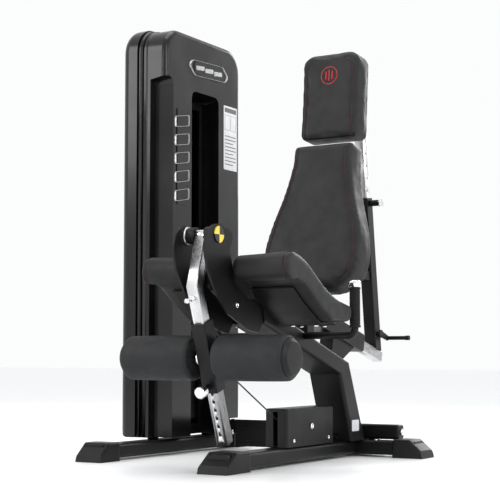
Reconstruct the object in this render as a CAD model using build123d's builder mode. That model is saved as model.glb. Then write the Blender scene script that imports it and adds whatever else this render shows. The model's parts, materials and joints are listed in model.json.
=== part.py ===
from build123d import *
import math
import os

os.makedirs("parts", exist_ok=True)

# Leg extension machine, millimetres, +Z up. The user sits facing -Y and the weight stack stands on the -X side.
# Most sizes below are (x from the seat's mid-plane, y from the knee axis, z from the floor).

# ---------------------------------------------------------------- driving dimensions
SEAT_X = 226.5          # the seat's mid-plane
KNEE_Y = -617.8         # the knee axis
KNEE_Z = 767.0
PLATE_X = (55.0, 63.0)  # pivot plates, one each side

BAR_WIDTH = 90.0        # floor bars
BAR_BOTTOM, BAR_TOP = 8.0, 60.0
TOWER_BAR_X = -644.0
REAR_BAR_Y = 1055.0
CROSS_Y = 1106.0
CROSS_SIZE = 56.0

BEAM_SLOPE = 17.5       # main beam, falling to the rear
BEAM_WIDTH, BEAM_DEPTH, WALL = 140.0, 66.0, 5.0
BEAM_START = 282.0

TOWER_FRONT, TOWER_REAR = 590.0, 1148.0
TOWER_OUTER, TOWER_INNER, TOWER_FACE = -775.0, -640.0, -560.0
TOWER_FLOOR, TOWER_TOP = 69.0, 1680.0
CHANNEL = (777.0, 977.0)
CHANNEL_TOP = 1440.0

STACK_X, STACK_Y = -707.0, 877.0
PLATE_SIZE = (96.0, 270.0, 25.0)
PLATE_PITCH = 25.6
STACK_BOTTOM = 130.0
RESTING_PLATES, LIFTED_PLATES = 10, 5
ROD_SPREAD = 90.0
ROD_RADIUS, STEM_RADIUS, PIN_RADIUS = 10.0, 12.0, 4.75
RUNNING = 0.05          # radial clearance of a running fit

CABLE_RADIUS = 2.5
BOX_PULLEY = (650.0, 130.0, 50.8)       # y, z and the cable's radius round it
CORNER_RADIUS, LOW_RADIUS, TOP_RADIUS = 38.0, 40.0, 45.0
TOP_PULLEY_Z = 1590.0

ARM = 40.0
KNEE_BEND = (-41.0, 600.0)
ARM_TILT = 20.0         # lower arm, bottom end to the rear
ROLLER_Y, ROLLER_Z = 40.0, 374.0
ROLLER_RADIUS, ROLLER_FROM, ROLLER_TO = 74.0, 45.0, 305.0

SLIDE_SLOPE = 15.0
SLIDE_AT = (1274.0, 384.0)
PAD_TILT = 14.0
POST_TILT = 7.0
POST_FOOT = (1257.0, 440.0)


# ---------------------------------------------------------------- planes and small helpers
def side(x):
    """An upright plane at x, whose sketches are (y, z)."""
    return Plane(origin=(SEAT_X + x, KNEE_Y, 0), x_dir=(0, 1, 0), z_dir=(1, 0, 0))




def at(x, y, z):
    return (SEAT_X + x, KNEE_Y + y, z)


def block(x, y, z, mode=Mode.ADD):
    """A box between the given limits on each axis."""
    with Locations(at((x[0] + x[1]) / 2, (y[0] + y[1]) / 2, (z[0] + z[1]) / 2)):
        return Box(x[1] - x[0], y[1] - y[0], z[1] - z[0], mode=mode)


def rod(start, end, radius, mode=Mode.ADD):
    """A round bar from start to end."""
    a = Vector(*at(*start))
    b = Vector(*at(*end))
    with Locations(Plane(origin=(a + b) / 2, z_dir=(b - a).normalized())):
        return Cylinder(radius, (b - a).length, mode=mode)


def cone(start, end, radius, end_radius, mode=Mode.ADD):
    """A tapered round bar from start to end."""
    a = Vector(*at(*start))
    b = Vector(*at(*end))
    with Locations(Plane(origin=(a + b) / 2, z_dir=(b - a).normalized())):
        return Cone(radius, end_radius, (b - a).length, mode=mode)


def side_plate(points, x, mode=Mode.ADD):
    """A flat piece with a straight-sided outline of (y, z) points, between two values of x."""
    with BuildSketch(side(x[0])) as outline:
        with BuildLine():
            Polyline(*points, close=True)
        make_face()
    return extrude(outline.sketch, amount=x[1] - x[0], mode=mode)


def save(piece, name):
    piece.part.label = name
    export_step(piece.part, f"parts/{name}.step")


def polar(centre, radius, degrees):
    angle = math.radians(degrees)
    return (centre[0] + radius * math.cos(angle), centre[1] + radius * math.sin(angle))


def along(point, slope, distance, rise=0.0):
    """From point, distance to the rear down a slope, and rise square to it."""
    a = math.radians(slope)
    return (
        point[0] + distance * math.cos(a) + rise * math.sin(a),
        point[1] - distance * math.sin(a) + rise * math.cos(a),
    )


# ---------------------------------------------------------------- floor bars and feet
BEAM_ORIGIN = (300.0, 482.0)    # on the main beam's lower edge
half_bar = BAR_WIDTH / 2

with BuildPart() as floor_bars:
    block((-half_bar, half_bar), (95, 1190), (BAR_BOTTOM, BAR_TOP))
    block((TOWER_BAR_X - half_bar, TOWER_BAR_X + half_bar), (275, 1260), (BAR_BOTTOM, BAR_TOP))
    fillet(floor_bars.edges().filter_by(Axis.Y), 14)
    block((half_bar + 0.2, 285), (REAR_BAR_Y - half_bar, REAR_BAR_Y + half_bar), (BAR_BOTTOM, BAR_TOP))
    side_bar = floor_bars.edges().filter_by(Axis.X).filter_by(lambda e: 200 < e.length < 260)
    fillet(side_bar, 14)
save(floor_bars, "floor_bars")

FOOT_WIDTH, FOOT_HEIGHT = 114.0, 68.0


def foot_cap(face, tip, mouth, bar_end):
    """A moulded cap over a bar's end: a flat sole, a sloped nose and a pocket the bar fills."""
    run = mouth - tip
    with BuildPart() as cap:
        with BuildSketch(face):
            with BuildLine():
                Polyline((tip, 0), (mouth, 0), (mouth, FOOT_HEIGHT), (tip + run * 0.42, FOOT_HEIGHT),
                         (tip + run * 0.06, FOOT_HEIGHT * 0.42), close=True)
            make_face()
        extrude(amount=FOOT_WIDTH / 2, both=True)
        fillet(cap.edges().filter_by(lambda e: e.center().Z > 20), 9)
        with BuildSketch(face):
            with Locations(((bar_end + mouth) / 2, (BAR_BOTTOM + BAR_TOP) / 2)):
                Rectangle(abs(mouth - bar_end) + 2, BAR_TOP - BAR_BOTTOM + 0.8)
        extrude(amount=half_bar + 0.4, both=True, mode=Mode.SUBTRACT)
    return cap.part


rear_face = Plane(origin=at(0, REAR_BAR_Y, 0), x_dir=(1, 0, 0), z_dir=(0, -1, 0))
with BuildPart() as foot_caps:
    add(foot_cap(side(0), 60, 215, 95))
    add(foot_cap(side(0), 1248, 1138, 1190))
    add(foot_cap(rear_face, 322, 198, 285))
    add(foot_cap(side(TOWER_BAR_X), 240, 360, 275))
    add(foot_cap(side(TOWER_BAR_X), 1296, 1186, 1260))
save(foot_caps, "foot_caps")

# ---------------------------------------------------------------- cross tube to the tower
cross_half = CROSS_SIZE / 2
with BuildPart() as cross_tube:
    block((-597, 190), (CROSS_Y - cross_half, CROSS_Y + cross_half), (62, 118))
    fillet(cross_tube.edges().filter_by(Axis.X), 10)
    block((-598, 176), (CROSS_Y - cross_half + 4, CROSS_Y + cross_half - 4), (66, 114), mode=Mode.SUBTRACT)
    block((-90, 14), (CROSS_Y - cross_half - 1, CROSS_Y - cross_half + 5), (70, 100), mode=Mode.SUBTRACT)
    outer_end = cross_tube.edges().filter_by(Axis.Y).sort_by(Axis.X)[-1]
    fillet(outer_end, 9)
save(cross_tube, "cross_tube")

cross_face = CROSS_Y - cross_half
with BuildPart() as cross_covers:
    block((-558, -540), (cross_face - 8, cross_face - 0.2), (13, 124))
    fillet(cross_covers.edges().filter_by(Axis.Y), 5)
    block((-534, -90), (cross_face - 9, cross_face - 0.2), (14, 122))
    for i in range(8):
        block((-534, -90), (cross_face - 12, cross_face - 8.5), (20 + i * 13, 26 + i * 13))
save(cross_covers, "cross_covers")


# ---------------------------------------------------------------- main beam, strut and brackets
def beam_point(distance, rise):
    return along(BEAM_ORIGIN, BEAM_SLOPE, distance, rise)


slope = math.tan(math.radians(BEAM_SLOPE))
beam_height = BEAM_DEPTH / math.cos(math.radians(BEAM_SLOPE))


def beam_bottom(y):
    return BEAM_ORIGIN[1] - slope * (y - BEAM_ORIGIN[0])


def beam_top(y):
    return beam_bottom(y) + beam_height


MITRE_LOW, MITRE_HIGH = 838.0, 915.0
beam_half = BEAM_WIDTH / 2
with BuildPart() as main_beam:
    side_plate(
        [(BEAM_START, beam_bottom(BEAM_START)), (MITRE_LOW, beam_bottom(MITRE_LOW)),
         (MITRE_HIGH, beam_top(MITRE_HIGH)), (BEAM_START - 14, beam_top(BEAM_START - 14))],
        (-beam_half, beam_half),
    )
    runs = main_beam.edges().filter_by(lambda e: abs(e.tangent_at(0.5).X) < 0.1 and e.length > 400)
    fillet(runs, 14)
    wall = WALL / math.cos(math.radians(BEAM_SLOPE))
    side_plate(
        [(BEAM_START - 40, beam_bottom(BEAM_START - 40) + wall), (MITRE_LOW - 30, beam_bottom(MITRE_LOW - 30) + wall),
         (MITRE_HIGH - 40, beam_top(MITRE_HIGH - 40) - wall), (BEAM_START - 40, beam_top(BEAM_START - 40) - wall)],
        (-beam_half + WALL, beam_half - WALL), mode=Mode.SUBTRACT,
    )
    block((-16, 16), (BEAM_START - 20, 560), (370, beam_bottom(420) + 4), mode=Mode.SUBTRACT)
save(main_beam, "main_beam")

strut_top = [(MITRE_LOW, beam_bottom(MITRE_LOW) - 0.2), (MITRE_HIGH + 0.2, beam_top(MITRE_HIGH) - 0.4)]
with BuildPart() as strut:
    side_plate([strut_top[0], (936, BAR_TOP + 0.2), (1047, BAR_TOP + 0.2), strut_top[1]], (-68, 68))
    fillet(strut.edges().filter_by(lambda e: abs(e.tangent_at(0.5).X) < 0.1 and e.length > 200), 14)
    side_plate([(860, 300), (955, 40), (1030, 40), (915, 345)], (-62, 62), mode=Mode.SUBTRACT)
    block((-9, 9), (850, 1060), (70, 90), mode=Mode.SUBTRACT)
    block((-70, 9), (1010, 1060), (70, 90), mode=Mode.SUBTRACT)
save(strut, "strut")


# ---------------------------------------------------------------- tower shrouds
SHELL = 5.0
SHELL_BACK = TOWER_REAR - 13        # the pillars end here; the head overhangs them


def upright(y, z, corner):
    """Sketches an upright panel's outline with rounded top corners."""
    with BuildSketch(side(0)) as outline:
        with BuildLine():
            Polyline((y[0], z[0]), (y[1], z[0]), (y[1], z[1]), (y[0], z[1]), close=True)
        make_face()
        fillet(outline.vertices().sort_by(Axis.Y)[-2:], corner)
    return outline.sketch


def panel(x, y, z, corner, mode=Mode.ADD):
    """An upright panel between two values of x, with rounded top corners."""
    face = upright(y, z, corner).moved(Location((x[0], 0, 0)))
    return extrude(face, amount=x[1] - x[0], dir=(1, 0, 0), mode=mode)


with BuildPart() as outer_shroud:
    panel((TOWER_OUTER, -694), (TOWER_FRONT, SHELL_BACK), (TOWER_FLOOR, TOWER_TOP), 105)
    rim = outer_shroud.faces().sort_by(Axis.X)[0].edges()
    fillet(rim, 44)
    panel((TOWER_OUTER + SHELL, -690), (TOWER_FRONT + SHELL + 6, SHELL_BACK - SHELL - 6),
          (TOWER_FLOOR - 10, TOWER_TOP - SHELL - 6), 96, mode=Mode.SUBTRACT)
save(outer_shroud, "outer_shroud")


def shroud_hoop(x, inset, corner):
    """A rounded hoop round the front, top and rear of the tower, between the two shells."""
    with BuildPart() as hoop:
        panel(x, (TOWER_FRONT + inset, SHELL_BACK - inset), (TOWER_FLOOR, TOWER_TOP - inset), corner)
        wide = hoop.edges().filter_by(lambda e: abs(e.tangent_at(0.5).X) < 0.05 and e.center().Z > TOWER_FLOOR + 5)
        fillet(wide, 8.5)
        panel((x[0] - 1, x[1] + 1), (TOWER_FRONT + inset + 11, SHELL_BACK - inset - 11),
              (TOWER_FLOOR - 5, TOWER_TOP - inset - 11), corner - 8, mode=Mode.SUBTRACT)
    return hoop.part


with BuildPart() as shroud_hoops:
    add(shroud_hoop((-693.8, -674), 4, 104))
    add(shroud_hoop((-673.8, -648), 9, 100))
save(shroud_hoops, "shroud_hoops")

HEAD_TOP = TOWER_TOP - 14
with BuildPart() as inner_shroud:
    panel((-647.8, TOWER_FACE), (TOWER_FRONT + 6, TOWER_REAR), (TOWER_FLOOR, HEAD_TOP), 98)
    rim = inner_shroud.faces().sort_by(Axis.X)[-1].edges()
    fillet(rim.filter_by(lambda e: e.center().Z > TOWER_FLOOR + 5), 22)
    block((-660, -550), (SHELL_BACK, TOWER_REAR + 5), (TOWER_FLOOR - 5, 1462), mode=Mode.SUBTRACT)
    # the narrow channel at the front and the wide one over the stack, both drafted
    for y, top, depth in (((TOWER_FRONT - 60, 648), 1470, 74), (CHANNEL, CHANNEL_TOP, 76)):
        with BuildSketch(side(TOWER_FACE)) as mouth:
            with BuildLine():
                Polyline((y[0], 0), (y[1], 0), (y[1], top), (y[0], top), close=True)
            make_face()
            fillet(mouth.vertices().sort_by(Axis.Y)[-2:], 30)
        extrude(mouth.sketch, amount=-depth, taper=9, mode=Mode.SUBTRACT)
    # hollow from behind: each pillar, the head and the window over the stack
    block((-660, TOWER_FACE - SHELL), (668, 768), (TOWER_FLOOR - 5, 1560), mode=Mode.SUBTRACT)
    block((-660, TOWER_FACE - SHELL), (994, 1124), (TOWER_FLOOR - 5, 1560), mode=Mode.SUBTRACT)
    block((-660, TOWER_FACE - SHELL - 16), (640, 1124), (1500, HEAD_TOP - 40), mode=Mode.SUBTRACT)
    block((-660, -630), (806, 948), (110, 1390), mode=Mode.SUBTRACT)
    block((-660, -550), (CROSS_Y - 38, SHELL_BACK + 5), (TOWER_FLOOR - 5, 126), mode=Mode.SUBTRACT)
save(inner_shroud, "inner_shroud")

with BuildPart() as shroud_badges:
    block((TOWER_FACE, TOWER_FACE + 3), (672, 742), (972, 1352))
    fillet(shroud_badges.edges().filter_by(Axis.X), 8)
    block((TOWER_FACE, TOWER_FACE + 2.5), (792, 1008), (1507, 1573))
    fillet(shroud_badges.edges().filter_by(Axis.X).filter_by(lambda e: e.center().Z > 1500), 30)
save(shroud_badges, "shroud_badges")

with BuildPart() as sign_plates:
    block((TOWER_FACE, TOWER_FACE + 2), (1014, 1116), (1152, 1420))
    block((68.2, 69.4), (928, 986), (98, 140))
    fillet(sign_plates.edges().filter_by(Axis.X), 5)
save(sign_plates, "sign_plates")

# ---------------------------------------------------------------- tower frame inside the shrouds
POST_Y = (668.0, 1048.0)
CROWN_Z = 1490.0
with BuildPart() as tower_frame:
    block((-765, -650), (640, 1080), (88, 96))
    for y in POST_Y:
        block((TOWER_BAR_X - 30, TOWER_BAR_X - 6), (y - 20, y + 20), (BAR_TOP, 88))
        block((STACK_X - 20, STACK_X + 20), (y - 20, y + 20), (96, CROWN_Z))
        block((STACK_X - 16, STACK_X + 16), (y - 16, y + 16), (97, CROWN_Z + 1), mode=Mode.SUBTRACT)
    block((STACK_X - 22, STACK_X + 22), (POST_Y[0] - 22, POST_Y[1] + 22), (CROWN_Z, CROWN_Z + 36))
    block((STACK_X - 18, STACK_X + 18), (POST_Y[0] - 23, POST_Y[1] + 23), (CROWN_Z + 4, CROWN_Z + 32),
          mode=Mode.SUBTRACT)
    rod((STACK_X, STACK_Y, CROWN_Z - 5), (STACK_X, STACK_Y, CROWN_Z + 40), 9, mode=Mode.SUBTRACT)
save(tower_frame, "tower_frame")

with BuildPart() as guide_rods:
    for dy in (-ROD_SPREAD, ROD_SPREAD):
        rod((STACK_X, STACK_Y + dy, 96), (STACK_X, STACK_Y + dy, CROWN_Z), ROD_RADIUS)
save(guide_rods, "guide_rods")

with BuildPart() as stack_bumpers:
    for dy in (-ROD_SPREAD, ROD_SPREAD):
        rod((STACK_X, STACK_Y + dy, 96), (STACK_X, STACK_Y + dy, STACK_BOTTOM), 24)
        rod((STACK_X, STACK_Y + dy, 90), (STACK_X, STACK_Y + dy, STACK_BOTTOM + 1), ROD_RADIUS, mode=Mode.SUBTRACT)
save(stack_bumpers, "stack_bumpers")


# ---------------------------------------------------------------- weight stack
def weight_plates(name, first, count):
    """Cast plates with holes for the guide rods, the stem and the selector pin."""
    with BuildPart() as plates:
        for i in range(first, first + count):
            low = STACK_BOTTOM + i * PLATE_PITCH
            with Locations(at(STACK_X, STACK_Y, low + PLATE_SIZE[2] / 2)):
                Box(*PLATE_SIZE)
            rod((STACK_X - 60, STACK_Y, low + 12.5), (STACK_X + 60, STACK_Y, low + 12.5), PIN_RADIUS + RUNNING,
                mode=Mode.SUBTRACT)
        fillet(plates.edges().filter_by(Axis.Z).filter_by(lambda e: e.length > 20), 5)
        top = STACK_BOTTOM + (first + count) * PLATE_PITCH
        for dy in (-ROD_SPREAD, ROD_SPREAD):
            rod((STACK_X, STACK_Y + dy, 100), (STACK_X, STACK_Y + dy, top), ROD_RADIUS + 1, mode=Mode.SUBTRACT)
        rod((STACK_X, STACK_Y, 100), (STACK_X, STACK_Y, top), STEM_RADIUS + 1, mode=Mode.SUBTRACT)
    save(plates, name)


weight_plates("resting_plates", 0, RESTING_PLATES)
weight_plates("lifted_plates", RESTING_PLATES, LIFTED_PLATES)

HEAD_LOW = STACK_BOTTOM + (RESTING_PLATES + LIFTED_PLATES) * PLATE_PITCH
PIN_Z = STACK_BOTTOM + RESTING_PLATES * PLATE_PITCH + PLATE_SIZE[2] / 2
with BuildPart() as head_plate:
    block((STACK_X - 48, STACK_X + 48), (STACK_Y - 135, STACK_Y + 135), (HEAD_LOW, HEAD_LOW + 34))
    fillet(head_plate.edges().filter_by(Axis.Z), 12)
    for dy in (-ROD_SPREAD, ROD_SPREAD):
        rod((STACK_X, STACK_Y + dy, HEAD_LOW + 30), (STACK_X, STACK_Y + dy, HEAD_LOW + 60), 20)
        rod((STACK_X, STACK_Y + dy, HEAD_LOW - 1), (STACK_X, STACK_Y + dy, HEAD_LOW + 61), ROD_RADIUS + RUNNING,
            mode=Mode.SUBTRACT)
save(head_plate, "head_plate")

with BuildPart() as selector_stem:
    rod((STACK_X, STACK_Y, STACK_BOTTOM + 6), (STACK_X, STACK_Y, HEAD_LOW), STEM_RADIUS)
    for i in range(RESTING_PLATES + LIFTED_PLATES):
        z = STACK_BOTTOM + i * PLATE_PITCH + PLATE_SIZE[2] / 2
        rod((STACK_X - 20, STACK_Y, z), (STACK_X + 20, STACK_Y, z), PIN_RADIUS + RUNNING, mode=Mode.SUBTRACT)
    rod((STACK_X, STACK_Y, HEAD_LOW + 34), (STACK_X, STACK_Y, HEAD_LOW + 44), 17)
    rod((STACK_X, STACK_Y, HEAD_LOW + 44), (STACK_X, STACK_Y, HEAD_LOW + 74), 8)
save(selector_stem, "selector_stem")

with BuildPart() as selector_pin:
    rod((STACK_X + 50, STACK_Y, PIN_Z), (STACK_X + 92, STACK_Y, PIN_Z), 16)
    fillet(selector_pin.edges(), 5)
    rod((STACK_X - 24, STACK_Y, PIN_Z), (STACK_X + 62, STACK_Y, PIN_Z), PIN_RADIUS)
save(selector_pin, "selector_pin")

# ---------------------------------------------------------------- pivot plates and bearings
TONGUE_REAR = 430.0
PLATE_TOP = 78.0        # radius over the knee axis
PLATE_CENTRE = (0.0, 723.0)
plate_outline = [
    polar(PLATE_CENTRE, PLATE_TOP, 197), (-63, 653), (-4, 568), (65, 513), (184, 466), (252, 457),
    (BEAM_START - 1, beam_bottom(BEAM_START - 1) + WALL + 4), (TONGUE_REAR, beam_bottom(TONGUE_REAR) + WALL + 4),
    (TONGUE_REAR, beam_top(TONGUE_REAR) - WALL - 6), (BEAM_START - 10, beam_top(BEAM_START - 10) - WALL - 6),
    (190, 567), (105, 611), (67, 725), (86, 758), (84, 779), (52, 793),
]


def pivot_plate(x):
    """One of the two plates that hold the knee shaft, with its tongue inside the main beam."""
    with BuildPart() as plate:
        with BuildSketch(side(x[0])):
            with BuildLine():
                Polyline(*plate_outline, polar(PLATE_CENTRE, PLATE_TOP, 58))
                ThreePointArc(polar(PLATE_CENTRE, PLATE_TOP, 58), polar(PLATE_CENTRE, PLATE_TOP, 125),
                              polar(PLATE_CENTRE, PLATE_TOP, 197))
            make_face()
        extrude(amount=x[1] - x[0])
        fillet(plate.edges().filter_by(Axis.X).filter_by(lambda e: e.center().Y - KNEE_Y < 200), 9)
        rod((x[0] - 1, 0, KNEE_Z), (x[1] + 1, 0, KNEE_Z), 22, mode=Mode.SUBTRACT)
    return plate.part


with BuildPart() as pivot_plates:
    add(pivot_plate(PLATE_X))
    add(pivot_plate((-PLATE_X[1], -PLATE_X[0])))
save(pivot_plates, "pivot_plates")

SHAFT_RADIUS = 15.0
with BuildPart() as knee_bearings:
    for s in (-1, 1):
        rod((s * (PLATE_X[0] - 6), 0, KNEE_Z), (s * PLATE_X[1], 0, KNEE_Z), 22)
        rod((s * (PLATE_X[0] - 6), 0, KNEE_Z), (s * (PLATE_X[0] - 0.2), 0, KNEE_Z), 30)
        rod((s * 40, 0, KNEE_Z), (s * 80, 0, KNEE_Z), SHAFT_RADIUS + RUNNING, mode=Mode.SUBTRACT)
save(knee_bearings, "knee_bearings")

with BuildPart() as pivot_marker:
    rod((PLATE_X[1] + 0.3, 0, KNEE_Z), (PLATE_X[1] + 4, 0, KNEE_Z), 27)
    fillet(pivot_marker.edges().sort_by(Axis.X)[-1], 1.5)
save(pivot_marker, "pivot_marker")

# ---------------------------------------------------------------- lever
tilt = math.radians(ARM_TILT)


def arm_point(distance, rise=0.0):
    """On the lower arm's centreline, distance below the knee bend; rise is towards the front."""
    return (
        KNEE_BEND[0] + distance * math.sin(tilt) - rise * math.cos(tilt),
        KNEE_BEND[1] - distance * math.cos(tilt) - rise * math.sin(tilt),
    )


UPPER_TOP = (10.0, 778.0)
ARM_LENGTH = 535.0
HOLE_PITCH, HOLE_RADIUS = 28.5, 5.5
FIRST_HOLE = 385.0
half_arm = ARM / 2
upper = Vector(UPPER_TOP[0] - KNEE_BEND[0], UPPER_TOP[1] - KNEE_BEND[1]).normalized()
inward = Vector(-upper.Y, upper.X)


def offset_point(point, normal, amount):
    return (point[0] + normal.X * amount, point[1] + normal.Y * amount)


def knee_corner(amount):
    """Where the two arm faces offset by amount meet at the knee."""
    lower = Vector(-math.sin(tilt), math.cos(tilt))
    lower_normal = Vector(-lower.Y, lower.X)
    bisector = (inward + lower_normal).normalized()
    reach = amount / bisector.dot(inward)
    return (KNEE_BEND[0] + bisector.X * reach, KNEE_BEND[1] + bisector.Y * reach)


def arm_outline(half, top_extra=0.0, bottom_extra=0.0):
    low = arm_point(ARM_LENGTH + bottom_extra)
    return [
        offset_point((UPPER_TOP[0] + upper.X * top_extra, UPPER_TOP[1] + upper.Y * top_extra), inward, half),
        knee_corner(half),
        (low[0] - half * math.cos(tilt), low[1] - half * math.sin(tilt)),
        (low[0] + half * math.cos(tilt), low[1] + half * math.sin(tilt)),
        knee_corner(-half),
        offset_point((UPPER_TOP[0] + upper.X * top_extra, UPPER_TOP[1] + upper.Y * top_extra), inward, -half),
    ]


with BuildPart() as lever_arm:
    side_plate(arm_outline(half_arm), (-half_arm, half_arm))
    long_edges = lever_arm.edges().filter_by(lambda e: abs(e.tangent_at(0.5).X) < 0.1 and e.length > 100)
    fillet(long_edges, 3.5)
    side_plate(arm_outline(half_arm - 3, 1, 1), (-half_arm + 3, half_arm - 3), mode=Mode.SUBTRACT)
    rod((-30, 0, KNEE_Z), (30, 0, KNEE_Z), SHAFT_RADIUS, mode=Mode.SUBTRACT)
    for i in range(-2, 5):
        hole = arm_point(FIRST_HOLE + i * HOLE_PITCH)
        front = arm_point(FIRST_HOLE + i * HOLE_PITCH, 30)
        rod((0, *hole), (0, *front), HOLE_RADIUS, mode=Mode.SUBTRACT)
save(lever_arm, "lever_arm")

with BuildPart() as knee_shaft:
    rod((-PLATE_X[1], 0, KNEE_Z), (PLATE_X[1], 0, KNEE_Z), SHAFT_RADIUS)
save(knee_shaft, "knee_shaft")

gusset_top = (UPPER_TOP[0] - upper.X * 90, UPPER_TOP[1] - upper.Y * 90)
gusset_low = arm_point(95, -half_arm - 0.1)
ANCHOR_END = arm_point(282, -half_arm - 30)
with BuildPart() as lever_fittings:
    for s in (-1, 1):
        rod((s * half_arm, 0, KNEE_Z), (s * 46, 0, KNEE_Z), 27)
        rod((s * half_arm, 0, KNEE_Z), (s * 46, 0, KNEE_Z), SHAFT_RADIUS, mode=Mode.SUBTRACT)
    side_plate([offset_point(gusset_top, inward, -half_arm - 0.1), knee_corner(-half_arm - 0.1), gusset_low,
                (28, 586), (26, 660)], (-5, 5))
    side_plate([arm_point(258, -half_arm - 0.1), arm_point(300, -half_arm - 0.1), arm_point(296, -half_arm - 30),
                arm_point(268, -half_arm - 30)], (-8, 8))
save(lever_fittings, "lever_fittings")

with BuildPart() as start_pin:
    rod((0, *arm_point(30, half_arm + 0.1)), (0, *arm_point(30, half_arm + 14)), 9)
    rod((0, *arm_point(30, half_arm + 14)), (0, *arm_point(30, half_arm + 40)), 5.5)
    rod((0, *arm_point(30, half_arm + 34)), (0, *arm_point(30, half_arm + 42)), 8)
save(start_pin, "start_peg")

# ---------------------------------------------------------------- roller carriage on the lever
SLEEVE_TOP, SLEEVE_END = 118.0, 352.0
PULL_AT = 328.0
sleeve_half_x, sleeve_half_y = 27.0, 29.0


def arm_frame(distance):
    """A plane square to the lower arm, looking down it; sketches are (x, towards the rear)."""
    centre = arm_point(distance)
    return Plane(origin=at(0, *centre), x_dir=(1, 0, 0), z_dir=(0, math.sin(tilt), -math.cos(tilt)))


def arm_tube(start, end, half_x, half_y, mode=Mode.ADD, corner=0.0):
    with BuildSketch(arm_frame(start)) as section:
        Rectangle(2 * half_x, 2 * half_y)
        if corner:
            fillet(section.vertices(), corner)
    return extrude(section.sketch, amount=end - start, mode=mode)


with BuildPart() as roller_sleeve:
    arm_tube(SLEEVE_TOP, SLEEVE_END, sleeve_half_x, sleeve_half_y, corner=5)
    arm_tube(SLEEVE_TOP - 1, SLEEVE_END + 1, half_arm + 2.6, half_arm + 2.6, mode=Mode.SUBTRACT, corner=3)
    arm_slot = [arm_point(138, -20), arm_point(353, -20), arm_point(353, -60), arm_point(138, -60)]
    side_plate(arm_slot, (-11, 11), mode=Mode.SUBTRACT)
    pull_hole = (arm_point(PULL_AT, sleeve_half_y + 31), arm_point(PULL_AT, half_arm))
    rod((0, *arm_point(PULL_AT, sleeve_half_y)), (0, *arm_point(PULL_AT, sleeve_half_y + 30)), 10)
    rod((0, *pull_hole[0]), (0, *pull_hole[1]), 5 + RUNNING, mode=Mode.SUBTRACT)
save(roller_sleeve, "roller_sleeve")

with BuildPart() as sleeve_liner:
    arm_tube(SLEEVE_TOP + 2, SLEEVE_END - 2, half_arm + 2.5, half_arm + 2.5, corner=2.9)
    arm_tube(SLEEVE_TOP, SLEEVE_END, half_arm + 0.4, half_arm + 0.4, mode=Mode.SUBTRACT, corner=3.2)
    side_plate(arm_slot, (-11, 11), mode=Mode.SUBTRACT)
    rod((0, *pull_hole[0]), (0, *pull_hole[1]), 5 + RUNNING, mode=Mode.SUBTRACT)
save(sleeve_liner, "sleeve_liner")

AXLE_RADIUS = 12.5
with BuildPart() as roller_axles:
    for s in (-1, 1):
        rod((s * (sleeve_half_x + 0.2), ROLLER_Y, ROLLER_Z), (s * (ROLLER_TO - 8), ROLLER_Y, ROLLER_Z), AXLE_RADIUS)
        rod((s * (sleeve_half_x + 0.2), ROLLER_Y, ROLLER_Z), (s * 40, ROLLER_Y, ROLLER_Z), 24)
save(roller_axles, "roller_axles")


def roller(side_name, s):
    """A foam roller on its tube, with a domed cap at the outer end."""
    with BuildPart() as foam:
        rod((s * ROLLER_FROM, ROLLER_Y, ROLLER_Z), (s * ROLLER_TO, ROLLER_Y, ROLLER_Z), ROLLER_RADIUS)
        fillet(foam.edges().filter_by(GeomType.CIRCLE), 13)
        rod((s * 40, ROLLER_Y, ROLLER_Z), (s * 330, ROLLER_Y, ROLLER_Z), 17, mode=Mode.SUBTRACT)
    save(foam, f"{side_name}_roller_foam")
    with BuildPart() as core:
        cone((s * (ROLLER_TO + 0.4), ROLLER_Y, ROLLER_Z), (s * (ROLLER_TO + 14), ROLLER_Y, ROLLER_Z), 64, 50)
        fillet(core.edges().filter_by(GeomType.CIRCLE).sort_by(lambda e: s * e.center().X)[-1], 9)
        rod((s * (ROLLER_FROM + 1), ROLLER_Y, ROLLER_Z), (s * (ROLLER_TO + 2), ROLLER_Y, ROLLER_Z), 16.7)
        rod((s * 40, ROLLER_Y, ROLLER_Z), (s * (ROLLER_TO - 6), ROLLER_Y, ROLLER_Z), AXLE_RADIUS + RUNNING,
            mode=Mode.SUBTRACT)
    save(core, f"{side_name}_roller_cap")


roller("right", 1)
roller("left", -1)

with BuildPart() as carriage_pin:
    rod((0, *arm_point(PULL_AT, half_arm + 5)), (0, *arm_point(PULL_AT, sleeve_half_y + 34)), 5)
    rod((0, *arm_point(PULL_AT, sleeve_half_y + 31)), (0, *arm_point(PULL_AT, sleeve_half_y + 62)), 20)
    fillet(carriage_pin.edges().filter_by(GeomType.CIRCLE).filter_by(lambda e: e.radius > 15), 7)
save(carriage_pin, "carriage_pin_knob")

# ---------------------------------------------------------------- seat
ROLL_CENTRE, ROLL_RADIUS = (99.0, 665.0), 46.0
SEAT_HALF, GAP_HALF = 290.0, 76.0
SEAT_REAR = 505.0
seat_top = [(112, 709), (189, 684), (323, 608), (420, 570), (SEAT_REAR, 556)]
seat_under = [(SEAT_REAR - 3, 512), (480, 494), (364, 496), (252, 557), (171, 611), (110, 630)]

with BuildPart() as seat_cushion:
    with BuildSketch(side(-SEAT_HALF)):
        with BuildLine():
            Spline(*seat_top)
            Polyline(seat_top[-1], *seat_under, seat_top[0])
        make_face()
        with Locations(ROLL_CENTRE):
            Circle(ROLL_RADIUS)
    extrude(amount=2 * SEAT_HALF)
    block((-GAP_HALF, GAP_HALF), (0, 165), (560, 760), mode=Mode.SUBTRACT)
    side_plate([(150, 700), (245, beam_top(245) + 2), (560, beam_top(560) + 2), (560, 300), (150, 300)], (-72, 72),
               mode=Mode.SUBTRACT)
save(seat_cushion, "seat_cushion")

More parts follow.
